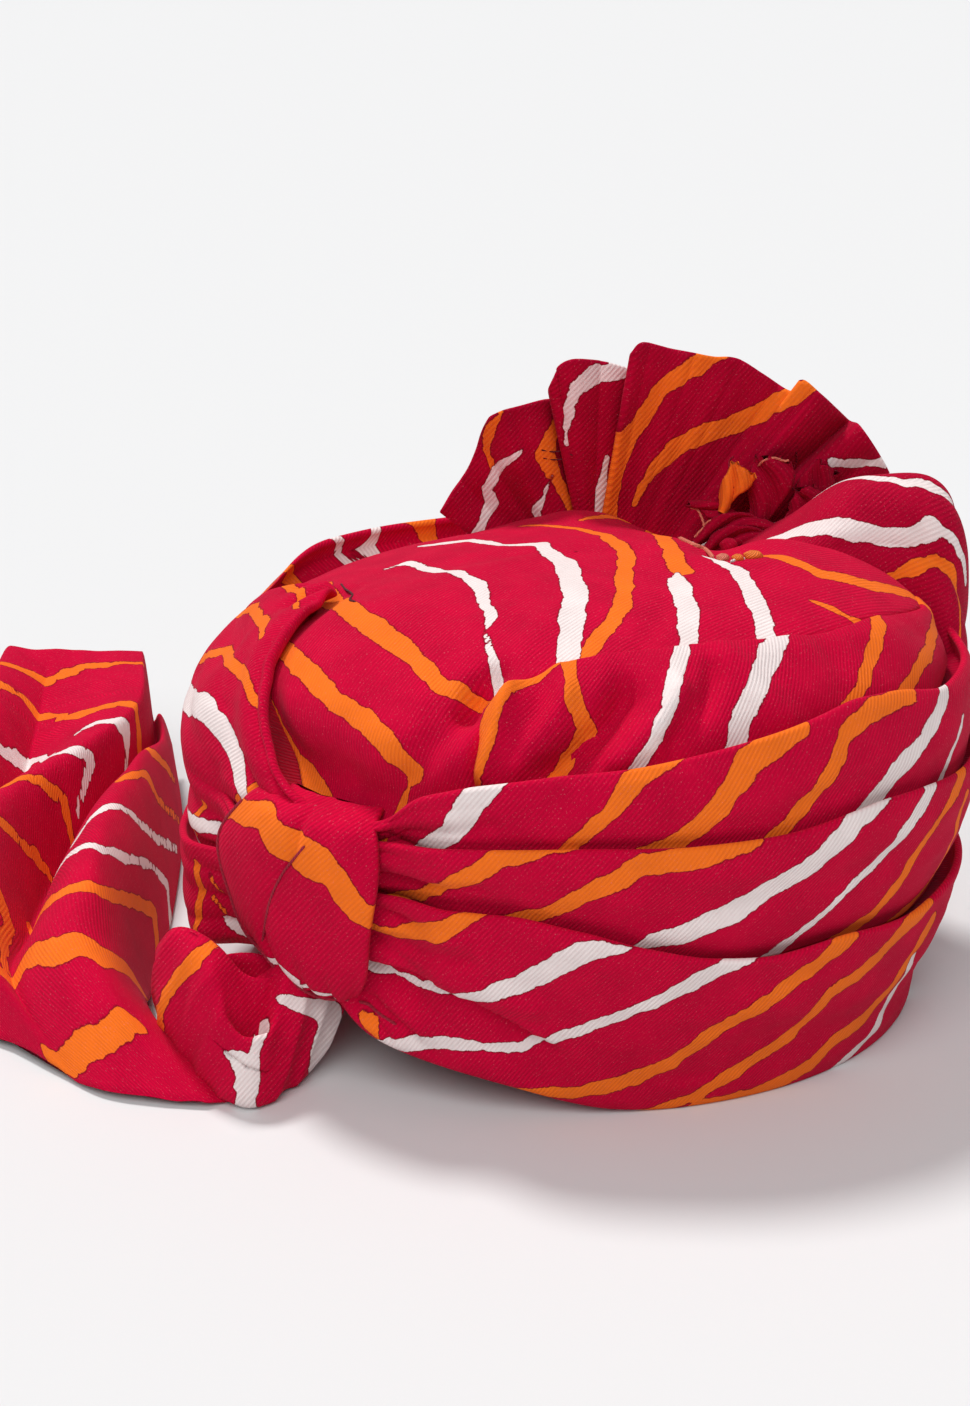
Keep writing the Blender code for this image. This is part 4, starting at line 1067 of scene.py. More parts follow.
def tier_back(first, last, low, high, lean, seed):
    """Slanting stripes for a part of a tier that the photo doesn't show."""
    random = np.random.default_rng(seed)
    rise = np.linspace(0.0, 1.0, STRIPE_POINTS) * (high - low)

    def route(angle, swing):
        start = (angle + random.uniform(-STRIPE_JITTER, STRIPE_JITTER)) * ACROSS
        return start + lean * rise + swing, low + rise

    starts = enumerate(np.arange(first, last, STRIPE_SPACING))
    return repeated(random, starts, STRIPE_SWAY, STRIPE_WIDTH, STRIPE_POINTS, route)


def crown_back():
    """Stripes on the crown behind the part that the photo shows."""
    random = np.random.default_rng(SEEDS["crown"])
    radius = np.linspace(*CROWN_RADII, STRIPE_POINTS)

    def route(angle, swing):
        turn = np.radians(angle + CROWN_TURN * (CROWN_RADII[0] - radius)) + swing
        return radius * np.sin(turn), -radius * np.cos(turn)

    starts = enumerate(np.arange(*CROWN_HIDDEN, STRIPE_SPACING))
    return repeated(random, starts, CROWN_SWAY, STRIPE_WIDTH, STRIPE_POINTS, route)


def tail_side(piece):
    """Stripes on the tail beyond the photo's left edge."""
    random = np.random.default_rng(SEEDS["pleated_tail"])
    first, spacing, width, lean = TAIL_HIDDEN
    starts = []
    for index, path in enumerate(np.arange(first, piece.flat[:, 1].max(), spacing)):
        beyond = (np.abs(piece.flat[:, 1] - path) < TAIL_NEAR) & (piece.pixels[:, 0] < TAIL_MARGIN)
        if beyond.any():
            places = piece.flat[beyond, 0]
            across = np.linspace(places.min(), places.max() + TAIL_PAST, TAIL_POINTS)
            starts.append((index, (path, across)))

    def route(start, swing):
        path, across = start
        return across, path + lean * (across - across[0]) + swing

    return repeated(random, starts, STRIPE_SWAY, width, TAIL_POINTS, route)


def shoulder_back():
    """Stripes on the shoulder's far side, along it as on its near side."""
    random = np.random.default_rng(SEEDS["shoulder_fold"])
    along = np.linspace(*SHOULDER_LENGTH, SHOULDER_POINTS)

    def route(width, swing):
        return along, width + SHOULDER_LEAN * along + swing

    starts = enumerate(SHOULDER_HIDDEN)
    return repeated(random, starts, SHOULDER_SWAY, STRIPE_WIDTH, SHOULDER_POINTS, route)


def hidden(piece):
    """Stripes where the photo doesn't show a piece."""
    if piece.name == "crown":
        return crown_back()
    if piece.name == "shoulder_fold":
        return shoulder_back()
    if piece.name == "pleated_tail":
        return tail_side(piece)
    return [line for row in HIDDEN_STRIPES.get(piece.name, []) for line in tier_back(*row)]


def loop_pleats(angle, share, count):
    """Pleats of a tier that run together under the loop, from both sides."""
    left, middle, right = LOOP_ANGLES
    on_right = angle > middle
    reach = np.where(on_right, angle - right, left - angle)
    amount = PLEAT_HEIGHT * np.exp(-np.clip(reach, 0.0, None) / np.where(on_right, *PLEAT_FADE[::-1]))
    bend = reach * np.where(on_right, *PLEAT_BEND[::-1])
    return amount * fold_wave(count * (share + bend) + PLEAT_START)


def rolled_edge(angle, high, lip, depth):
    """Points over a folded edge, how far up the cloth they are, and the last one's depth."""
    turn = np.linspace(0.0, math.pi, LIP_POINTS)[1:]
    depths = depth[:, -1:] - lip + lip * np.cos(turn)
    return outside(angle, high - lip + lip * np.sin(turn), depths), high - lip + lip * turn, depths[:, -1:]


def tier(name, low_rows, high_rows, creases, lowest=False, lip=LIP, drawn=0.0, lean=0.0, folds=()):
    """One wound tier as a closed ring with a rolled upper edge."""
    angle = np.arange(-180.0, 180.0, RING_STEP)[:, None]
    low, high = edge_level(low_rows, angle), edge_level(high_rows, angle)
    start = 0.0 * low if lowest else -FACE_START / (high - low)
    end = 1.0 - lip / (high - low)
    share = start + (end - start) * np.linspace(0.0, 1.0, FACE_POINTS)
    level = low + share * (high - low)
    held = RIM_HOLD + (1.0 - RIM_HOLD) * ramp(level, RIM_HOLD_LEVELS) if lowest else 1.0
    depth = smooth_table(RIM_SECTION if lowest else TIER_SECTION, np.clip(share, 0.0, 1.0))
    depth -= PINCH * between(angle, *PINCH_SIDES) * held
    depth += np.minimum(share, 0.0) * (high - low) * TUCK_LEAN
    depth -= drawn * between(angle, *DRAWN_SIDES) * ramp(share, DRAWN_SHARES)
    depth -= lean * between(angle, *ROLL_SIDES) * ramp(level, ROLL_LEVELS)
    relief = loop_pleats(angle, share, PLEAT_COUNTS[name]) + crease_relief(angle, level, creases)
    relief += fold_relief(angle, level, folds) + wrinkles(name, angle * ACROSS, level, AROUND)
    depth += relief * (ramp(share, CALM_SHARES) if lowest else 1.0)
    face = outside(angle, level, depth)
    over, over_up, edge_depth = rolled_edge(angle, high, lip, depth)
    inside = outside(angle, high - lip - CREVICE, edge_depth - EDGE_TUCK)
    slope = TIER_SLOPE - CREVICE
    if lowest:
        foot = outside(angle, low)[:, 0, 2:]
        face[:, 0, 2:] = foot
    else:
        foot = outside(angle, low - LIP - CREVICE, FOOT_DEPTH)[:, 0, 2:] - slope + INSIDE_LEAST
    top = np.maximum(inside[:, 0, 2:] - slope, foot + INSIDE_LEAST)
    inner = shell_points(CAP_OUTSIDE, angle, top + (foot - top) * INSIDE_SHARES, CAP_GAP)
    points = np.concatenate([face, over, inside, inner], axis=1)
    inner_up = high + 2 * CREVICE + INSIDE_FLAT * INSIDE_SHARES
    flat = flat_round(angle, np.concatenate([level, over_up, high + CREVICE, inner_up], axis=1))
    faces = grid_faces(*points.shape[:2], wrap_rows=True, wrap_columns=True)
    return Piece(name, points, faces, flat, AROUND)


def roll_lip():
    """Radius of the upper tier's rolled edge, smallest where it leans in."""
    angle = np.arange(-180.0, 180.0, RING_STEP)[:, None]
    return LIP + between(angle, *THICK_SIDES) - ROLL_THIN * between(angle, *ROLL_SIDES)


def crown():
    """Dome of cloth over the head, down inside the tiers and back up round the hollow."""
    angle = np.arange(-180.0, 180.0, CROWN_STEP)[:, None]
    edge = edge_level(UPPER_EDGE, angle)
    share = np.linspace(0.0, 1.0, CROWN_POINTS)
    level = edge - CROWN_DOWN + share * (TOP_LEVEL - edge + CROWN_DOWN)
    sunk = CROWN_EDGE[0] * (1.0 - ramp(level - edge, CROWN_EDGE[1]))
    depth = edge_level(CROWN_DEPTH, angle, CROWN_SOFT) - sunk
    depth += (CROWN_TOP_DEPTH - depth) * ramp(share, CROWN_TOP_SHARES)
    under = 1.0 - ramp(level - drape_top(angle), CROWN_COVERED[1])
    depth -= CROWN_COVERED[0] * between(angle, *COVERED_SIDES) * under
    turn = np.radians(angle)
    plan_x, plan_y = (TOP_LEVEL - level) * np.sin(turn), -(TOP_LEVEL - level) * np.cos(turn)
    relief = crease_relief(angle, level, CROWN_CREASES) + relief_of(plan_x, plan_y, CROWN_DIPS)
    relief += wrinkles("crown", plan_x, plan_y)
    depth += relief * (1.0 - ramp(share, CROWN_SMOOTH_SHARES))
    dome = outside(angle, level, depth)
    foot = outside(angle, edge_level(RIM_EDGE, angle))[:, 0, 2:] + CROWN_FOOT
    down = np.linspace(1.0, 0.0, CAP_POINTS)[1:]
    side_heights = foot + down * (np.minimum(dome[:, :1, 2], CAP_TOP) - CAP_TUCK - foot)
    side = shell_points(CAP_OUTSIDE, angle, side_heights)
    rise = np.sin(np.linspace(0.0, 0.5 * math.pi, HOLLOW_POINTS))
    hollow_heights = foot + rise * (HEAD_HOLLOW[-1][2] - foot)
    hollow = shell_points(HEAD_HOLLOW, angle, hollow_heights)
    points = np.concatenate([dome[:, ::-1], side, hollow], axis=1)
    flat_dome = np.stack([plan_x, plan_y], axis=-1)[:, ::-1]
    flat = np.concatenate([flat_dome, flat_round(angle, side_heights),
                           flat_round(angle, hollow_heights)], axis=1)
    rows, columns = points.shape[:2]
    ends = np.arange(rows) * columns
    faces = grid_faces(rows, columns, wrap_rows=True)
    faces += [ends.tolist(), (ends + columns - 1)[::-1].tolist()]
    return Piece("crown", points, faces, flat)


def drape():
    """Loose layer over the front with a twisted roll at its left end."""
    first, last = DRAPE_EDGE[0][0] - DRAPE_PAST[0], DRAPE_EDGE[-1][0] + DRAPE_PAST[1]
    angle = np.arange(first, last, RING_STEP)[:, None]
    low, high = edge_level(UPPER_EDGE, angle), drape_top(angle)
    share = np.linspace(-DRAPE_DOWN, 1.0, DRAPE_POINTS)
    share = np.where(share < 0.0, share / DRAPE_TUCK, share)
    level = low + share * (high - LIP - low)
    depth = smooth_table(DRAPE_SECTION, np.clip(share, 0.0, 1.0)) + np.minimum(share, 0) * DRAPE_TUCK_LEAN
    end = np.clip((first + DRAPE_END[0] - angle) / DRAPE_END[0], 0.0, 1.0)
    depth = depth - DRAPE_END[1] * (1.0 - np.sqrt(1.0 - end ** 2))
    depth += crease_relief(angle, level, DRAPE_CREASES) + wrinkles("front_drape", angle * ACROSS, level)
    face = outside(angle, level, depth)
    over, over_up, edge_depth = rolled_edge(angle, high, LIP, depth)
    column = np.round((1.0 - np.minimum(DRAPE_UNDER, 1.0)) * (depth.shape[1] - 1)).astype(int)
    back_level = high - LIP - (high - low) * DRAPE_UNDER
    back = outside(angle, back_level, depth[:, column] - DRAPE_BACK)
    points = np.concatenate([face, over, back], axis=1)
    flat_up = np.concatenate([level, over_up, high + DRAPE_FLAT[0] + DRAPE_FLAT[1] * DRAPE_UNDER], axis=1)
    return loft("front_drape", points, flat_round(angle, flat_up))


def loft(name, sections, flat):
    """Closed body through equally long closed sections."""
    return Piece(name, sections, tube_faces(*sections.shape[:2]), flat)


def surface_normals(grid):
    """Unit normals of a grid of points."""
    return unit(np.cross(np.gradient(grid, axis=0), np.gradient(grid, axis=1)))


def sheet(name, grid, flat, side):
    """Closed sheet of cloth with rounded edges, grown from a grid to one side of it."""
    thickness = THICKNESS[name]
    normal = surface_normals(grid)
    normal *= math.copysign(1.0, normal[len(grid) // 2, grid.shape[1] // 2] @ side)
    back = grid - normal * thickness
    halfway = 0.5 * (grid + back)
    shrink, bulge = HEM

    def rim(column, inner):
        out = unit(grid[:, column] - grid[:, inner])
        return (halfway[:, column] + out * thickness * bulge)[:, None]

    points = np.concatenate([grid, rim(-1, -2), back[:, ::-1], rim(0, 1)], axis=1)
    places = np.concatenate([flat, flat[:, -1:], flat[:, ::-1], flat[:, :1]], axis=1)
    caps = []
    for end, inner in ((0, 1), (-1, -2)):
        out = unit(points[end] - points[inner])
        edge = halfway[end]
        centre = np.concatenate([edge, edge[-1:], edge[::-1], edge[:1]])
        caps.append((centre + shrink * (points[end] - centre) + out * thickness * bulge)[None])
    return loft(name, np.concatenate([caps[0], points, caps[1]]),
                np.concatenate([places[:1], places, places[-1:]]))


def shoulder():
    """Puffed layer from the fan's foot over the back right side."""
    stations, columns = GRIDS["shoulder_fold"]
    across = np.linspace(0.0, 3.0, columns)
    rows = spread_rows(SHOULDER_ROWS, stations).reshape(stations, 4, 3)
    grid = np.stack([smooth_rows(row, across) for row in rows])
    width = distances(grid.swapaxes(0, 1)).T
    length = distances(grid[:, columns // 2])[:, None] + 0.0 * width
    height, pitch, lean, lengths = SHOULDER_PLEATS
    bump = wrinkles("shoulder_fold", length, width)
    bump += height * fold_wave((width - lean * length) / pitch) * ramp(length, lengths)
    bump *= np.sin(math.pi * across / 3.0) ** 0.5
    normal = surface_normals(grid)
    outwards = np.sign(normal[stations // 2, columns // 2] @ SHOULDER_OUT)
    grid = grid + normal * bump[..., None] * outwards
    return sheet("shoulder_fold", grid, np.stack([length, width], axis=-1), SHOULDER_OUT)


def loop():
    """Band that cinches the tiers, tucked in behind them at its top, gathered at its foot."""
    stations, columns = GRIDS["cinching_loop"]
    across = np.linspace(0.0, 1.0, columns)
    level, left, right, depth = spread_rows(LOOP_ROWS, stations).T[:, :, None]
    angle = left + across * (right - left)
    gather = ramp(level, LOOP_FOOT_LEVELS) + 0.5 * ramp(level, LOOP_HEAD_LEVELS)
    height, count, start = LOOP_GATHERS
    bump = LOOP_PUFF[0] * np.sin(math.pi * across) ** LOOP_PUFF[1] - LOOP_DEEPER * (1.0 - across) ** 3
    bump = bump + gather * height * fold_wave(count * across + start)
    seam = LOOP_SEAM[0] + LOOP_SEAM[1] * ramp(level, LOOP_SEAM[2])
    bump -= SEAM_DEPTH * np.exp(-((across - seam) / SEAM_WIDTH) ** 2)
    bump += wrinkles("cinching_loop", angle * ACROSS, level + 0 * angle)
    bump *= ramp(level, LOOP_FLAT[1]) * (1.0 - LOOP_FLAT[0]) + LOOP_FLAT[0]
    grid = outside(angle, level, depth + bump)
    return sheet("cinching_loop", grid, flat_round(angle, level), LOOP_OUT)


def behind_pixel(x, y, plane):
    """Points that the photo's camera sees at pixels, on upright planes across its view."""
    across = (np.asarray(x, float) - PHOTO_SIZE[0] / 2) / PHOTO_FOCAL
    above = (PHOTO_SIZE[1] / 2 - np.asarray(y, float)) / PHOTO_FOCAL
    sight = above[..., None] * VIEW_UP - VIEW_BACK
    sight[..., 0] += across
    return VIEW_EYE + sight * ((plane - VIEW_EYE[1]) / sight[..., 1])[..., None]


def fan():
    """Pleated fan opening from its gathered foot, each pleat lying over the next."""
    places = np.linspace(0.0, len(FAN_FOLDS) - 1, (len(FAN_FOLDS) - 1) * FOLD_POINTS + 1)
    rows = smooth_rows(FAN_FOLDS, places)
    rim_x, rim_y, foot_x, foot_y, front = rows[:, :5].T[:, :, None]
    lobe = np.array([row[5] for row in FAN_FOLDS])[np.round(places).astype(int)][:, None]
    start = np.minimum((foot_y - FAN_START) / (foot_y - rim_y), FAN_START_SHARE)
    share = start + (1.0 - start) * np.linspace(0.0, 1.0, FAN_POINTS)
    x = foot_x + (rim_x - foot_x) * share
    y = foot_y + (rim_y - foot_y) * share
    order = distances(rows[:, :2])[:, None]
    height, pitch, first = FAN_PUFF
    forward = front * share ** FAN_CURL[1] * FAN_CURL[0] + height * fold_wave(order / pitch + first) * share
    forward += share * wrinkles("pleated_fan", order, share * FAN_LENGTH)
    forward += share ** 2 * wrinkles("fan_rim", order, share * FAN_LENGTH)
    forward -= FAN_FOOT_BACK * (1.0 - share)
    flat = np.stack([x / FAN_SCALE, -y / FAN_SCALE, lobe + 0.0 * x], axis=-1)
    return sheet("pleated_fan", behind_pixel(x, y, FAN_PLANE - forward), flat, FAN_OUT)


def tuft_flaps():
    """Grids of the raw ends and wraps at the fan's foot."""
    grids = []
    random = np.random.default_rng(SEEDS["raw_tuft"])
    stations, columns = GRIDS["raw_tuft"]
    swing = np.linspace(-1.0, 1.0, columns)
    share = np.linspace(0.0, 1.0, stations)[:, None]
    for front, spine in TUFT_FLAPS:
        line = spread_rows(spine, stations)
        along = unit(np.gradient(line[:, :2], axis=0))
        x = line[:, :1] - along[:, 1:] * line[:, 2:] * swing
        y = line[:, 1:2] + along[:, :1] * line[:, 2:] * swing
        fray = FRAY * random.uniform(-1.0, 1.0, columns)
        x[-1] += fray * along[-1, 0]
        y[-1] += fray * along[-1, 1]
        ripple = np.sin(FLAP_WAVE[0] * math.pi * (share + FLAP_WAVE[1] * swing))
        forward = front + FLAP_PUFF * (1.0 - swing ** 2) + FLAP_RIPPLE * ripple
        forward += FLAP_TWIST * random.uniform(-1.0, 1.0) * swing
        grids.append(behind_pixel(x, y, FAN_PLANE - forward))
    return grids


def lumpy_ball(centre, *halves):
    """Points, faces and flat places of a lumpy ball."""
    rows, columns = GRIDS["ball"]
    turn = np.linspace(0.0, 2.0 * math.pi, columns, endpoint=False)[None]
    rise = np.linspace(BALL_ENDS, math.pi - BALL_ENDS, rows)[:, None]
    height, round_it, over_it = BALL_LUMPS
    lump = (1.0 + height * np.sin(round_it * turn + over_it * rise)) * np.sin(rise)
    ball = np.stack([lump * np.cos(turn), lump * np.sin(turn), np.cos(rise) + 0.0 * turn], axis=-1)
    return ball * halves + centre, tube_faces(rows, columns), flat_grid(rows, columns, *BALL_CLOTH)


def raw_tuft():
    """Join the raw ends, wraps and knots in one piece."""
    parts = []
    for grid in tuft_flaps():
        back = grid - surface_normals(grid) * TUFT_THICKNESS
        section = np.concatenate([grid, back[:, ::-1]], axis=1)
        rows, columns = section.shape[:2]
        parts.append((section, tube_faces(rows, columns), flat_grid(rows, columns, *FLAP_CLOTH)))
    for front, x, y, half_x, half_y in TUFT_KNOTS:
        halves = np.array((half_x, half_y, half_y)) / PIXELS_PER_MM
        parts.append(lumpy_ball(behind_pixel(x, y, FAN_PLANE - front), *halves))
    points, faces, flat = [], [], []
    for number, (part, body, places) in enumerate(parts):
        first = sum(len(other) for other in flat)
        faces += [[corner + first for corner in face] for face in body]
        points.append(part.reshape(-1, 3))
        flat.append(np.column_stack([places, np.full(len(places), number)]))
    return Piece("raw_tuft", np.concatenate(points), faces, np.concatenate(flat))


def tail_turn():
    """Bend of the tail below the loop: two lobes that meet at its foot."""
    stations, columns = GRIDS["tail_bend"]
    rows = spread_rows(TURN_ROWS, stations)
    centres, lowest, highest, half = rows[:, :2], rows[:, 2:3], rows[:, 3:4], rows[:, 4:5]
    along = unit(np.gradient(centres, axis=0))
    turn = np.linspace(0.0, 2.0 * math.pi, columns, endpoint=False)
    out, up = np.cos(turn), np.sin(turn)
    swing = half * np.sign(out) * np.abs(out) ** np.where(up < 0, *TURN_BLUNT)
    height = 0.5 * (lowest + highest) + 0.5 * (highest - lowest) * up
    foot_x, spread, back_out = TURN_POCKET
    pocket = np.exp(-((centres[:, :1] - foot_x) / spread) ** 2)
    height += pocket * ramp(up, POCKET_SINK) * (smooth_table(POCKET_SECTION, out) - height)
    swing = swing + pocket * ramp(out, POCKET_PUSH) * back_out
    path = distances(centres)[:, None]
    swing = swing + wrinkles("tail_bend", path, turn * TURN_CLOTH) * np.sign(swing)
    pleat, pitch, lean = TURN_PLEATS
    swing += pleat * fold_wave((path + lean * height) / pitch) * (out < 0)
    points = np.stack([centres[:, :1] + along[:, 1:] * swing, centres[:, 1:] - along[:, :1] * swing,
                       np.maximum(height, LOWEST)], axis=-1)
    right, above, away = from_camera(points)
    flat = np.stack([VIEW_DISTANCE * right, VIEW_DISTANCE * above, (out > TURN_LOBE) + 0.0 * away],
                    axis=-1)
    return loft("tail_bend", points, flat)


def tail():
    """Pleated strip on the table: round crests, sharp valleys."""
    stations = np.linspace(0.0, len(TAIL_ROWS) - 1, GRIDS["pleated_tail"][0])
    shares = np.linspace(0.0, 1.0, GRIDS["pleated_tail"][1])
    rows = smooth_rows(TAIL_ROWS, stations)
    bows = np.interp(stations, np.arange(len(TAIL_ROWS)), TAIL_BOW)
    grid, flat = [], []
    for row, bow, path in zip(rows, bows, distances(0.5 * (rows[:, :2] + rows[:, 3:5]))):
        right, left = row[:2], row[3:5]
        heights = np.array([row[2], *row[10:15], TAIL_LEFT_HEIGHT])
        place = np.interp(shares, [0.0, *row[5:10], 1.0], np.arange(7.0))
        lower = np.minimum(place.astype(int), 5)
        quarter = 0.5 * math.pi * (place - lower)
        rising = heights[lower + 1] > heights[lower]
        part = np.where(rising, np.sin(quarter), 1.0 - np.cos(quarter))
        height = heights[lower] + part * (heights[lower + 1] - heights[lower])
        across = shares * float(np.linalg.norm(left - right))
        height = np.maximum(height + wrinkles("pleated_tail", path, across), TAIL_LOWEST)
        ground = right + shares[:, None] * (left - right)
        ground[:, 1] -= bow * smooth_table(BOW_SHAPE, shares)
        grid.append(np.column_stack([ground, height]))
        width = distances(np.stack([across, height], axis=1))
        flat.append(np.stack([width, path + 0 * shares], axis=-1))
    return sheet("pleated_tail", np.array(grid), np.array(flat), (0.0, 0.0, 1.0))


def tube(name, line, radius):
    """Thread along a smooth line through points in turban millimetres."""
    line = spread_rows(line, (len(line) - 1) * TUBE_POINTS + 1)
    along = unit(np.gradient(line, axis=0))
    side = unit(np.cross(along, THREAD_UP))
    up = np.cross(along, side)
    turn = np.linspace(0.0, 2.0 * math.pi, TUBE_POINTS, endpoint=False)
    taper = np.ones(len(line))
    taper[0] = taper[-1] = THREAD_TIP
    ring = np.cos(turn)[None, :, None] * side[:, None] + np.sin(turn)[None, :, None] * up[:, None]
    points = line[:, None] + ring * (radius * taper)[:, None, None]
    flat = np.stack(np.broadcast_arrays(turn * radius, distances(line)[:, None]), axis=-1)
    return loft(name, points, flat)


def lay_threads(pieces):
    """Seams, stitches, loose threads and knots where the photo shows them."""
    by_name = {piece.name: piece for piece in pieces}
    finishes = {name: thread_cotton(name + "_thread", tone) for name, tone in THREAD_COLOURS.items()}
    for number, (owner, radius, colour, pixels) in enumerate(THREADS, 1):
        piece = by_name[owner]
        line = [piece.seen_at(x, y, piece.points)
                + unit(piece.seen_at(x, y, piece.normals)) * radius * THREAD_LIFT for x, y in pixels]
        thread = tube(f"thread_{number}", np.array(line), radius)
        dress(thread, finishes[colour], "cut_ends" if owner == "raw_tuft" else "printed_cotton")
    dome = by_name["crown"]
    for number, (colour, x, y, half_x, half_y) in enumerate(KNOTS, 1):
        half = half_y / PIXELS_PER_MM
        centre = dome.seen_at(x, y, dome.points) + KNOT_OFF * half
        ball = lumpy_ball(centre, half_x / PIXELS_PER_MM, half, half)
        dress(Piece(f"knot_{number}", *ball), finishes[colour], "cut_ends")


def new_node(tree, kind, **sockets):
    """Add a shader node and set its plain input values by name."""
    node = tree.nodes.new(kind)
    for name, value in sockets.items():
        node.inputs[name.replace("_", " ")].default_value = value
    return node


def feed(tree, socket, value):
    """Link a socket to an output, or set it to a number or a colour."""
    if isinstance(value, tuple):
        socket.default_value = (*value, 1.0)
    elif isinstance(value, float):
        socket.default_value = value
    else:
        tree.links.new(value, socket)


def maths(tree, operation, *values):
    """Math node between links or numbers; returns its output."""
    node = tree.nodes.new("ShaderNodeMath")
    node.operation = operation
    for socket, value in zip(node.inputs, values):
        feed(tree, socket, value)
    return node.outputs[0]


def times(tree, first, second):
    """Product of links or numbers."""
    return maths(tree, "MULTIPLY", first, second)


def mixed(tree, factor, first, second):
    """Colour mix of two colours or links; returns its output."""
    node = tree.nodes.new("ShaderNodeMix")
    node.data_type = "RGBA"
    for socket, value in ((node.inputs[0], factor), (node.inputs[6], first), (node.inputs[7], second)):
        feed(tree, socket, value)
    return node.outputs[2]


def share_between(tree, value, low, high):
    """Share of a value between two ends, clamped; returns its output."""
    node = new_node(tree, "ShaderNodeMapRange", From_Min=low, From_Max=high)
    tree.links.new(value, node.inputs["Value"])
    return node.outputs["Result"]


def noise_output(tree, vector, scale, detail, roughness):
    """Fac output of a noise texture."""
    node = new_node(tree, "ShaderNodeTexNoise", Scale=scale, Detail=detail, Roughness=roughness)
    tree.links.new(vector, node.inputs["Vector"])
    return node.outputs["Fac"]


def threads(tree, vector, pitch, direction):
    """Even wave across the flat cloth in a direction; returns its output."""
    node = tree.nodes.new("ShaderNodeVectorMath")
    node.operation = "DOT_PRODUCT"
    node.inputs[1].default_value = (*(np.array(direction) * 2.0 * math.pi / pitch), 0.0)
    tree.links.new(vector, node.inputs[0])
    return maths(tree, "SINE", node.outputs["Value"])


def shaded(colour, share):
    """Colour made darker or lighter."""
    return tuple(min(share * tone, 1.0) for tone in colour)


def new_cloth(name):
    """New material, its node tree and shader, and the flat cloth's places."""
    material = bpy.data.materials.new(name)
    material.use_nodes = True
    tree = material.node_tree
    place = tree.nodes.new("ShaderNodeUVMap")
    place.uv_map = "flat"
    return material, tree, tree.nodes["Principled BSDF"], place.outputs["UV"]


def add_bump(tree, shader, height, distance):
    """Let a height roughen the shader's normal."""
    bump = new_node(tree, "ShaderNodeBump", Strength=BUMP_STRENGTH, Distance=distance)
    tree.links.new(height, bump.inputs["Height"])
    tree.links.new(bump.outputs["Normal"], shader.inputs["Normal"])


def woven(tree, cloth):
    """Height of the weave: patchy twill and the crossings of weft and warp."""
    twill, weft, warp = (threads(tree, cloth, *kind) for kind in (TWILL, WEFT, WARP))
    patchy = share_between(tree, noise_output(tree, cloth, *PATCHES), *PATCH_ENDS)
    return maths(tree, "ADD", times(tree, twill, patchy),
                 times(tree, times(tree, weft, warp), CROSSINGS))


def swung(tree, cloth, pattern, amount):
    """Noise as a swing to both sides."""
    return times(tree, maths(tree, "SUBTRACT", noise_output(tree, cloth, *pattern), 0.5), amount)


def with_stripes(tree, cloth, colour, dye, weave, base):
    """Lay the ragged stripes, each with a dark line round it, over the ground's colour."""
    edge = maths(tree, "ADD", swung(tree, cloth, FRAYED, FRAYED_SWING),
                 swung(tree, cloth, WAVERING, WAVERING_SWING))
    for stripe, ink in INKS.items():
        value = tree.nodes.new("ShaderNodeAttribute")
        value.attribute_name = stripe
        ragged = maths(tree, "ADD", value.outputs["Fac"], edge)
        colour = mixed(tree, share_between(tree, ragged, *LINE_EDGE), colour, DEEP)
        body = mixed(tree, share_between(tree, dye, *INK_ENDS), shaded(ink, INK_TONE), ink)
        lines = times(tree, share_between(tree, weave, *INK_WEAVE), INK_THREADS)
        through = tuple(INK_GROUND[0] * tone + INK_GROUND[1] * under for tone, under in zip(ink, base))
        body = mixed(tree, lines, body, through)
        colour = mixed(tree, share_between(tree, ragged, *INK_EDGE), colour, body)
    return colour


def cotton(name, base):
    """Printed cotton: twill threads, pale slubs, uneven dye and ragged stripes."""
    material, tree, shader, cloth = new_cloth(name)
    weave = woven(tree, cloth)
    dye = noise_output(tree, cloth, *DYE)
    slub = noise_output(tree, cloth, *SLUBS)
    tones = (shaded(base, share) for share in DYE_TONES)
    colour = mixed(tree, share_between(tree, dye, *DYE_ENDS), *tones)
    lines = times(tree, share_between(tree, weave, -1.0, 1.0), THREAD_SHADE)
    colour = mixed(tree, lines, colour, shaded(base, GROUND_THREADS))
    colour = with_stripes(tree, cloth, colour, dye, weave, base)
    pale = times(tree, share_between(tree, slub, *SLUB_ENDS), SLUB_SHARE)
    tree.links.new(mixed(tree, pale, colour, SLUB_PALE), shader.inputs["Base Color"])
    rough = new_node(tree, "ShaderNodeMapRange", To_Min=ROUGHNESS[0], To_Max=ROUGHNESS[1])
    tree.links.new(slub, rough.inputs["Value"])
    tree.links.new(rough.outputs["Result"], shader.inputs["Roughness"])
    for socket, value in GLOSS.items():
        shader.inputs[socket].default_value = value
    heights = (times(tree, height, share) for height, share in zip((weave, dye), BUMP_SHARES))
    add_bump(tree, shader, maths(tree, "ADD", *heights), BUMP_DISTANCE)
    return material


def thread_cotton(name, colour):
    """Twisted thread."""
    material, tree, shader, cloth = new_cloth(name)
    twist = threads(tree, cloth, *THREAD_TWIST)
    tone = mixed(tree, share_between(tree, twist, -1.0, 1.0), shaded(colour, THREAD_DARK), colour)
    tree.links.new(tone, shader.inputs["Base Color"])
    shader.inputs["Roughness"].default_value = THREAD_ROUGHNESS
    add_bump(tree, shader, twist, THREAD_BUMP)
    return material


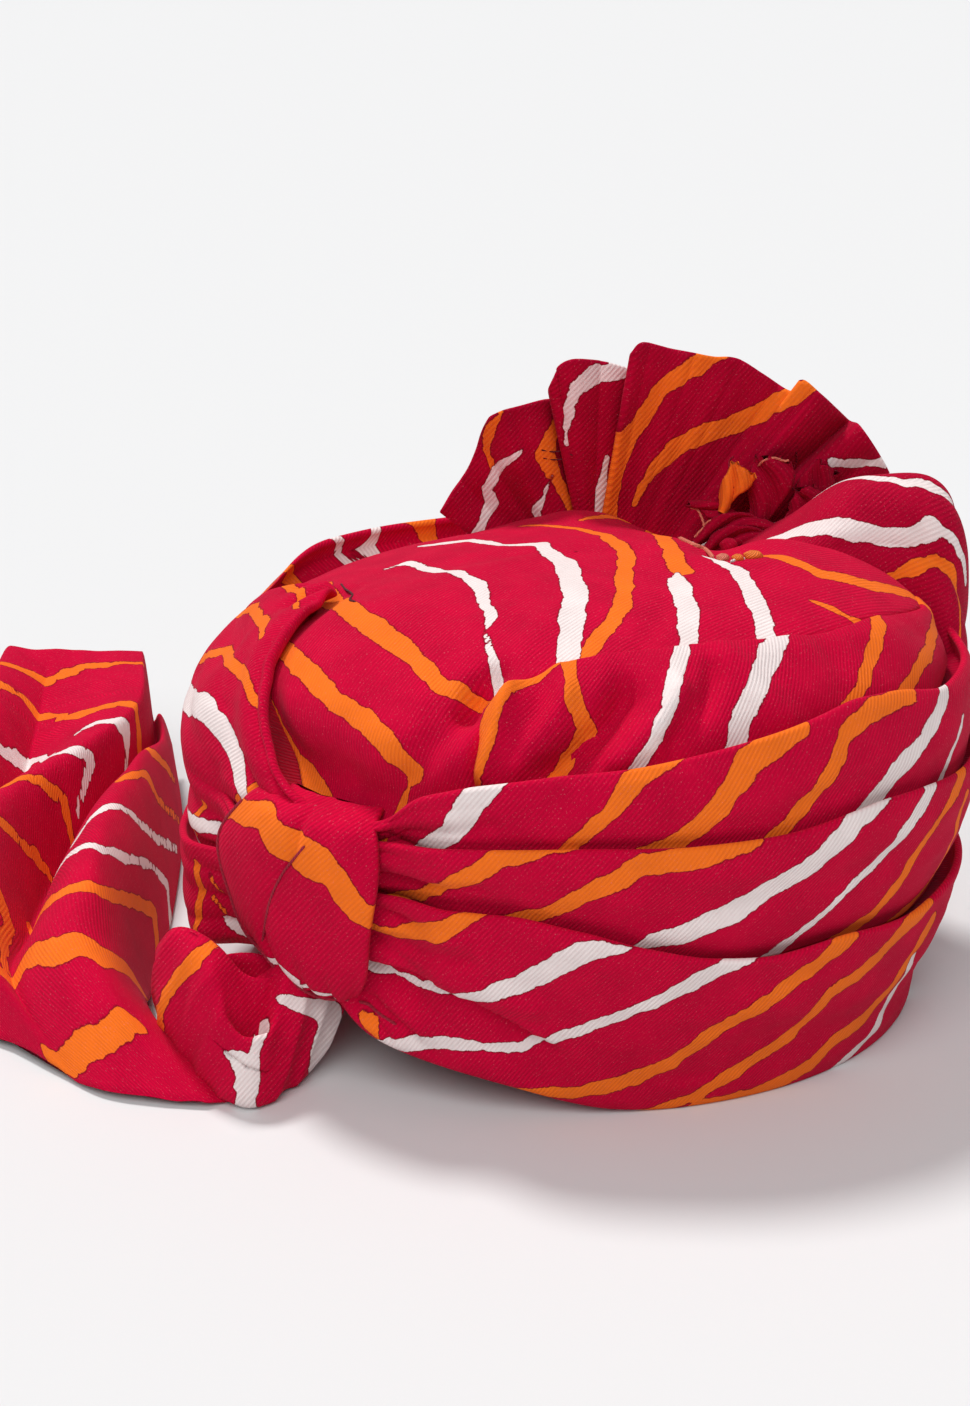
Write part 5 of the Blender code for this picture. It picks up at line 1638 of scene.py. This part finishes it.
def add_floor():
    """Plain pale floor."""
    bpy.ops.mesh.primitive_circle_add(vertices=FLOOR_SIDES, radius=FLOOR_RADIUS, fill_type="NGON")
    floor = bpy.context.object
    floor.name = "floor"
    material = bpy.data.materials.new("floor")
    material.use_nodes = True
    shader = material.node_tree.nodes["Principled BSDF"]
    for socket, value in FLOOR_FINISH.items():
        shader.inputs[socket].default_value = value
    floor.data.materials.append(material)


def add_sun(name, energy, angle, direction, colour=(1.0, 1.0, 1.0)):
    """Far light of a given softness from one direction."""
    sun = bpy.data.lights.new(name, "SUN")
    sun.energy = energy
    sun.angle = angle
    sun.color = colour
    lamp = bpy.data.objects.new(name, sun)
    lamp.rotation_euler = Vector(direction).to_track_quat("-Z", "Y").to_euler()
    put_in_scene(lamp)


def add_light():
    """Soft key light, softer fill and an even pale surround."""
    add_sun("key", *KEY, KEY_COLOUR)
    add_sun("fill", *FILL_LIGHT)
    world = bpy.data.worlds.new("surround")
    bpy.context.scene.world = world
    world.use_nodes = True
    surround = world.node_tree.nodes["Background"]
    surround.inputs["Color"].default_value = SURROUND
    surround.inputs["Strength"].default_value = SURROUND_STRENGTH
    bpy.context.scene.view_settings.view_transform = "Standard"


def add_camera():
    """Camera at the photo's view of the turban."""
    lens = bpy.data.cameras.new("camera")
    lens.sensor_width = SENSOR
    lens.lens = PHOTO_FOCAL * SENSOR / PHOTO_SIZE[1]
    lens.clip_start, lens.clip_end = SIGHT
    camera = bpy.data.objects.new("camera", lens)
    camera.location = (VIEW_EYE + CENTRE) * MM
    camera.rotation_euler = (math.pi / 2 - VIEW_ELEVATION, 0.0, 0.0)
    put_in_scene(camera)
    bpy.context.scene.camera = camera


def dress(piece, material, slot, *nodes):
    """Give a piece its finish and let it stand for nodes of the frame."""
    piece.mesh.materials.append(material)
    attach(piece.object, BODY)
    if nodes:
        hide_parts(*nodes)


def main():
    """Make, stripe and dress every piece."""
    add_camera()
    add_floor()
    add_light()
    printed = cotton("printed_cotton", CRIMSON)
    # Darker copy of the printed cotton: painted shade for the fan and the shoulder
    painted_shade_copy = cotton("painted_shade_cotton", PAINTED_SHADE_CRIMSON)
    ends = cotton("cut_ends", CUT_ENDS)

    lower = tier("lower_tier", RIM_EDGE, LOWER_EDGE, LOWER_CREASES, lowest=True, folds=LOWER_FOLDS)
    middle = tier("middle_tier", LOWER_EDGE, MIDDLE_EDGE, MIDDLE_CREASES, drawn=DRAWN_IN)
    upper = tier("upper_tier", MIDDLE_EDGE, UPPER_EDGE, UPPER_CREASES, lip=roll_lip(), lean=ROLL_LEAN)
    dome = crown()
    front = drape()
    side = shoulder()
    band = loop()
    turra = fan()
    raw = raw_tuft()
    bend = tail_turn()
    strip = tail()

    pieces = ((lower, "wrap_lower"), (middle, "wrap_middle"), (upper, "wrap_upper"), (dome, "cap"),
              (front, "drape"), (side, "shoulder"), (band, "loop"), (turra, "fan"),
              (bend, "tail_turn"), (strip, "tail"))
    for piece, node in pieces:
        piece.paint(charted(piece) + hidden(piece))
        # The fan and the shoulder get the darker cotton as painted shade
        dress(piece, painted_shade_copy if piece in (turra, side) else printed, "printed_cotton", node)
    raw.paint([TUFT_STRIPE])
    dress(raw, ends, "cut_ends", "fan_tuft")
    lay_threads([piece for piece, node in pieces] + [raw])


main()
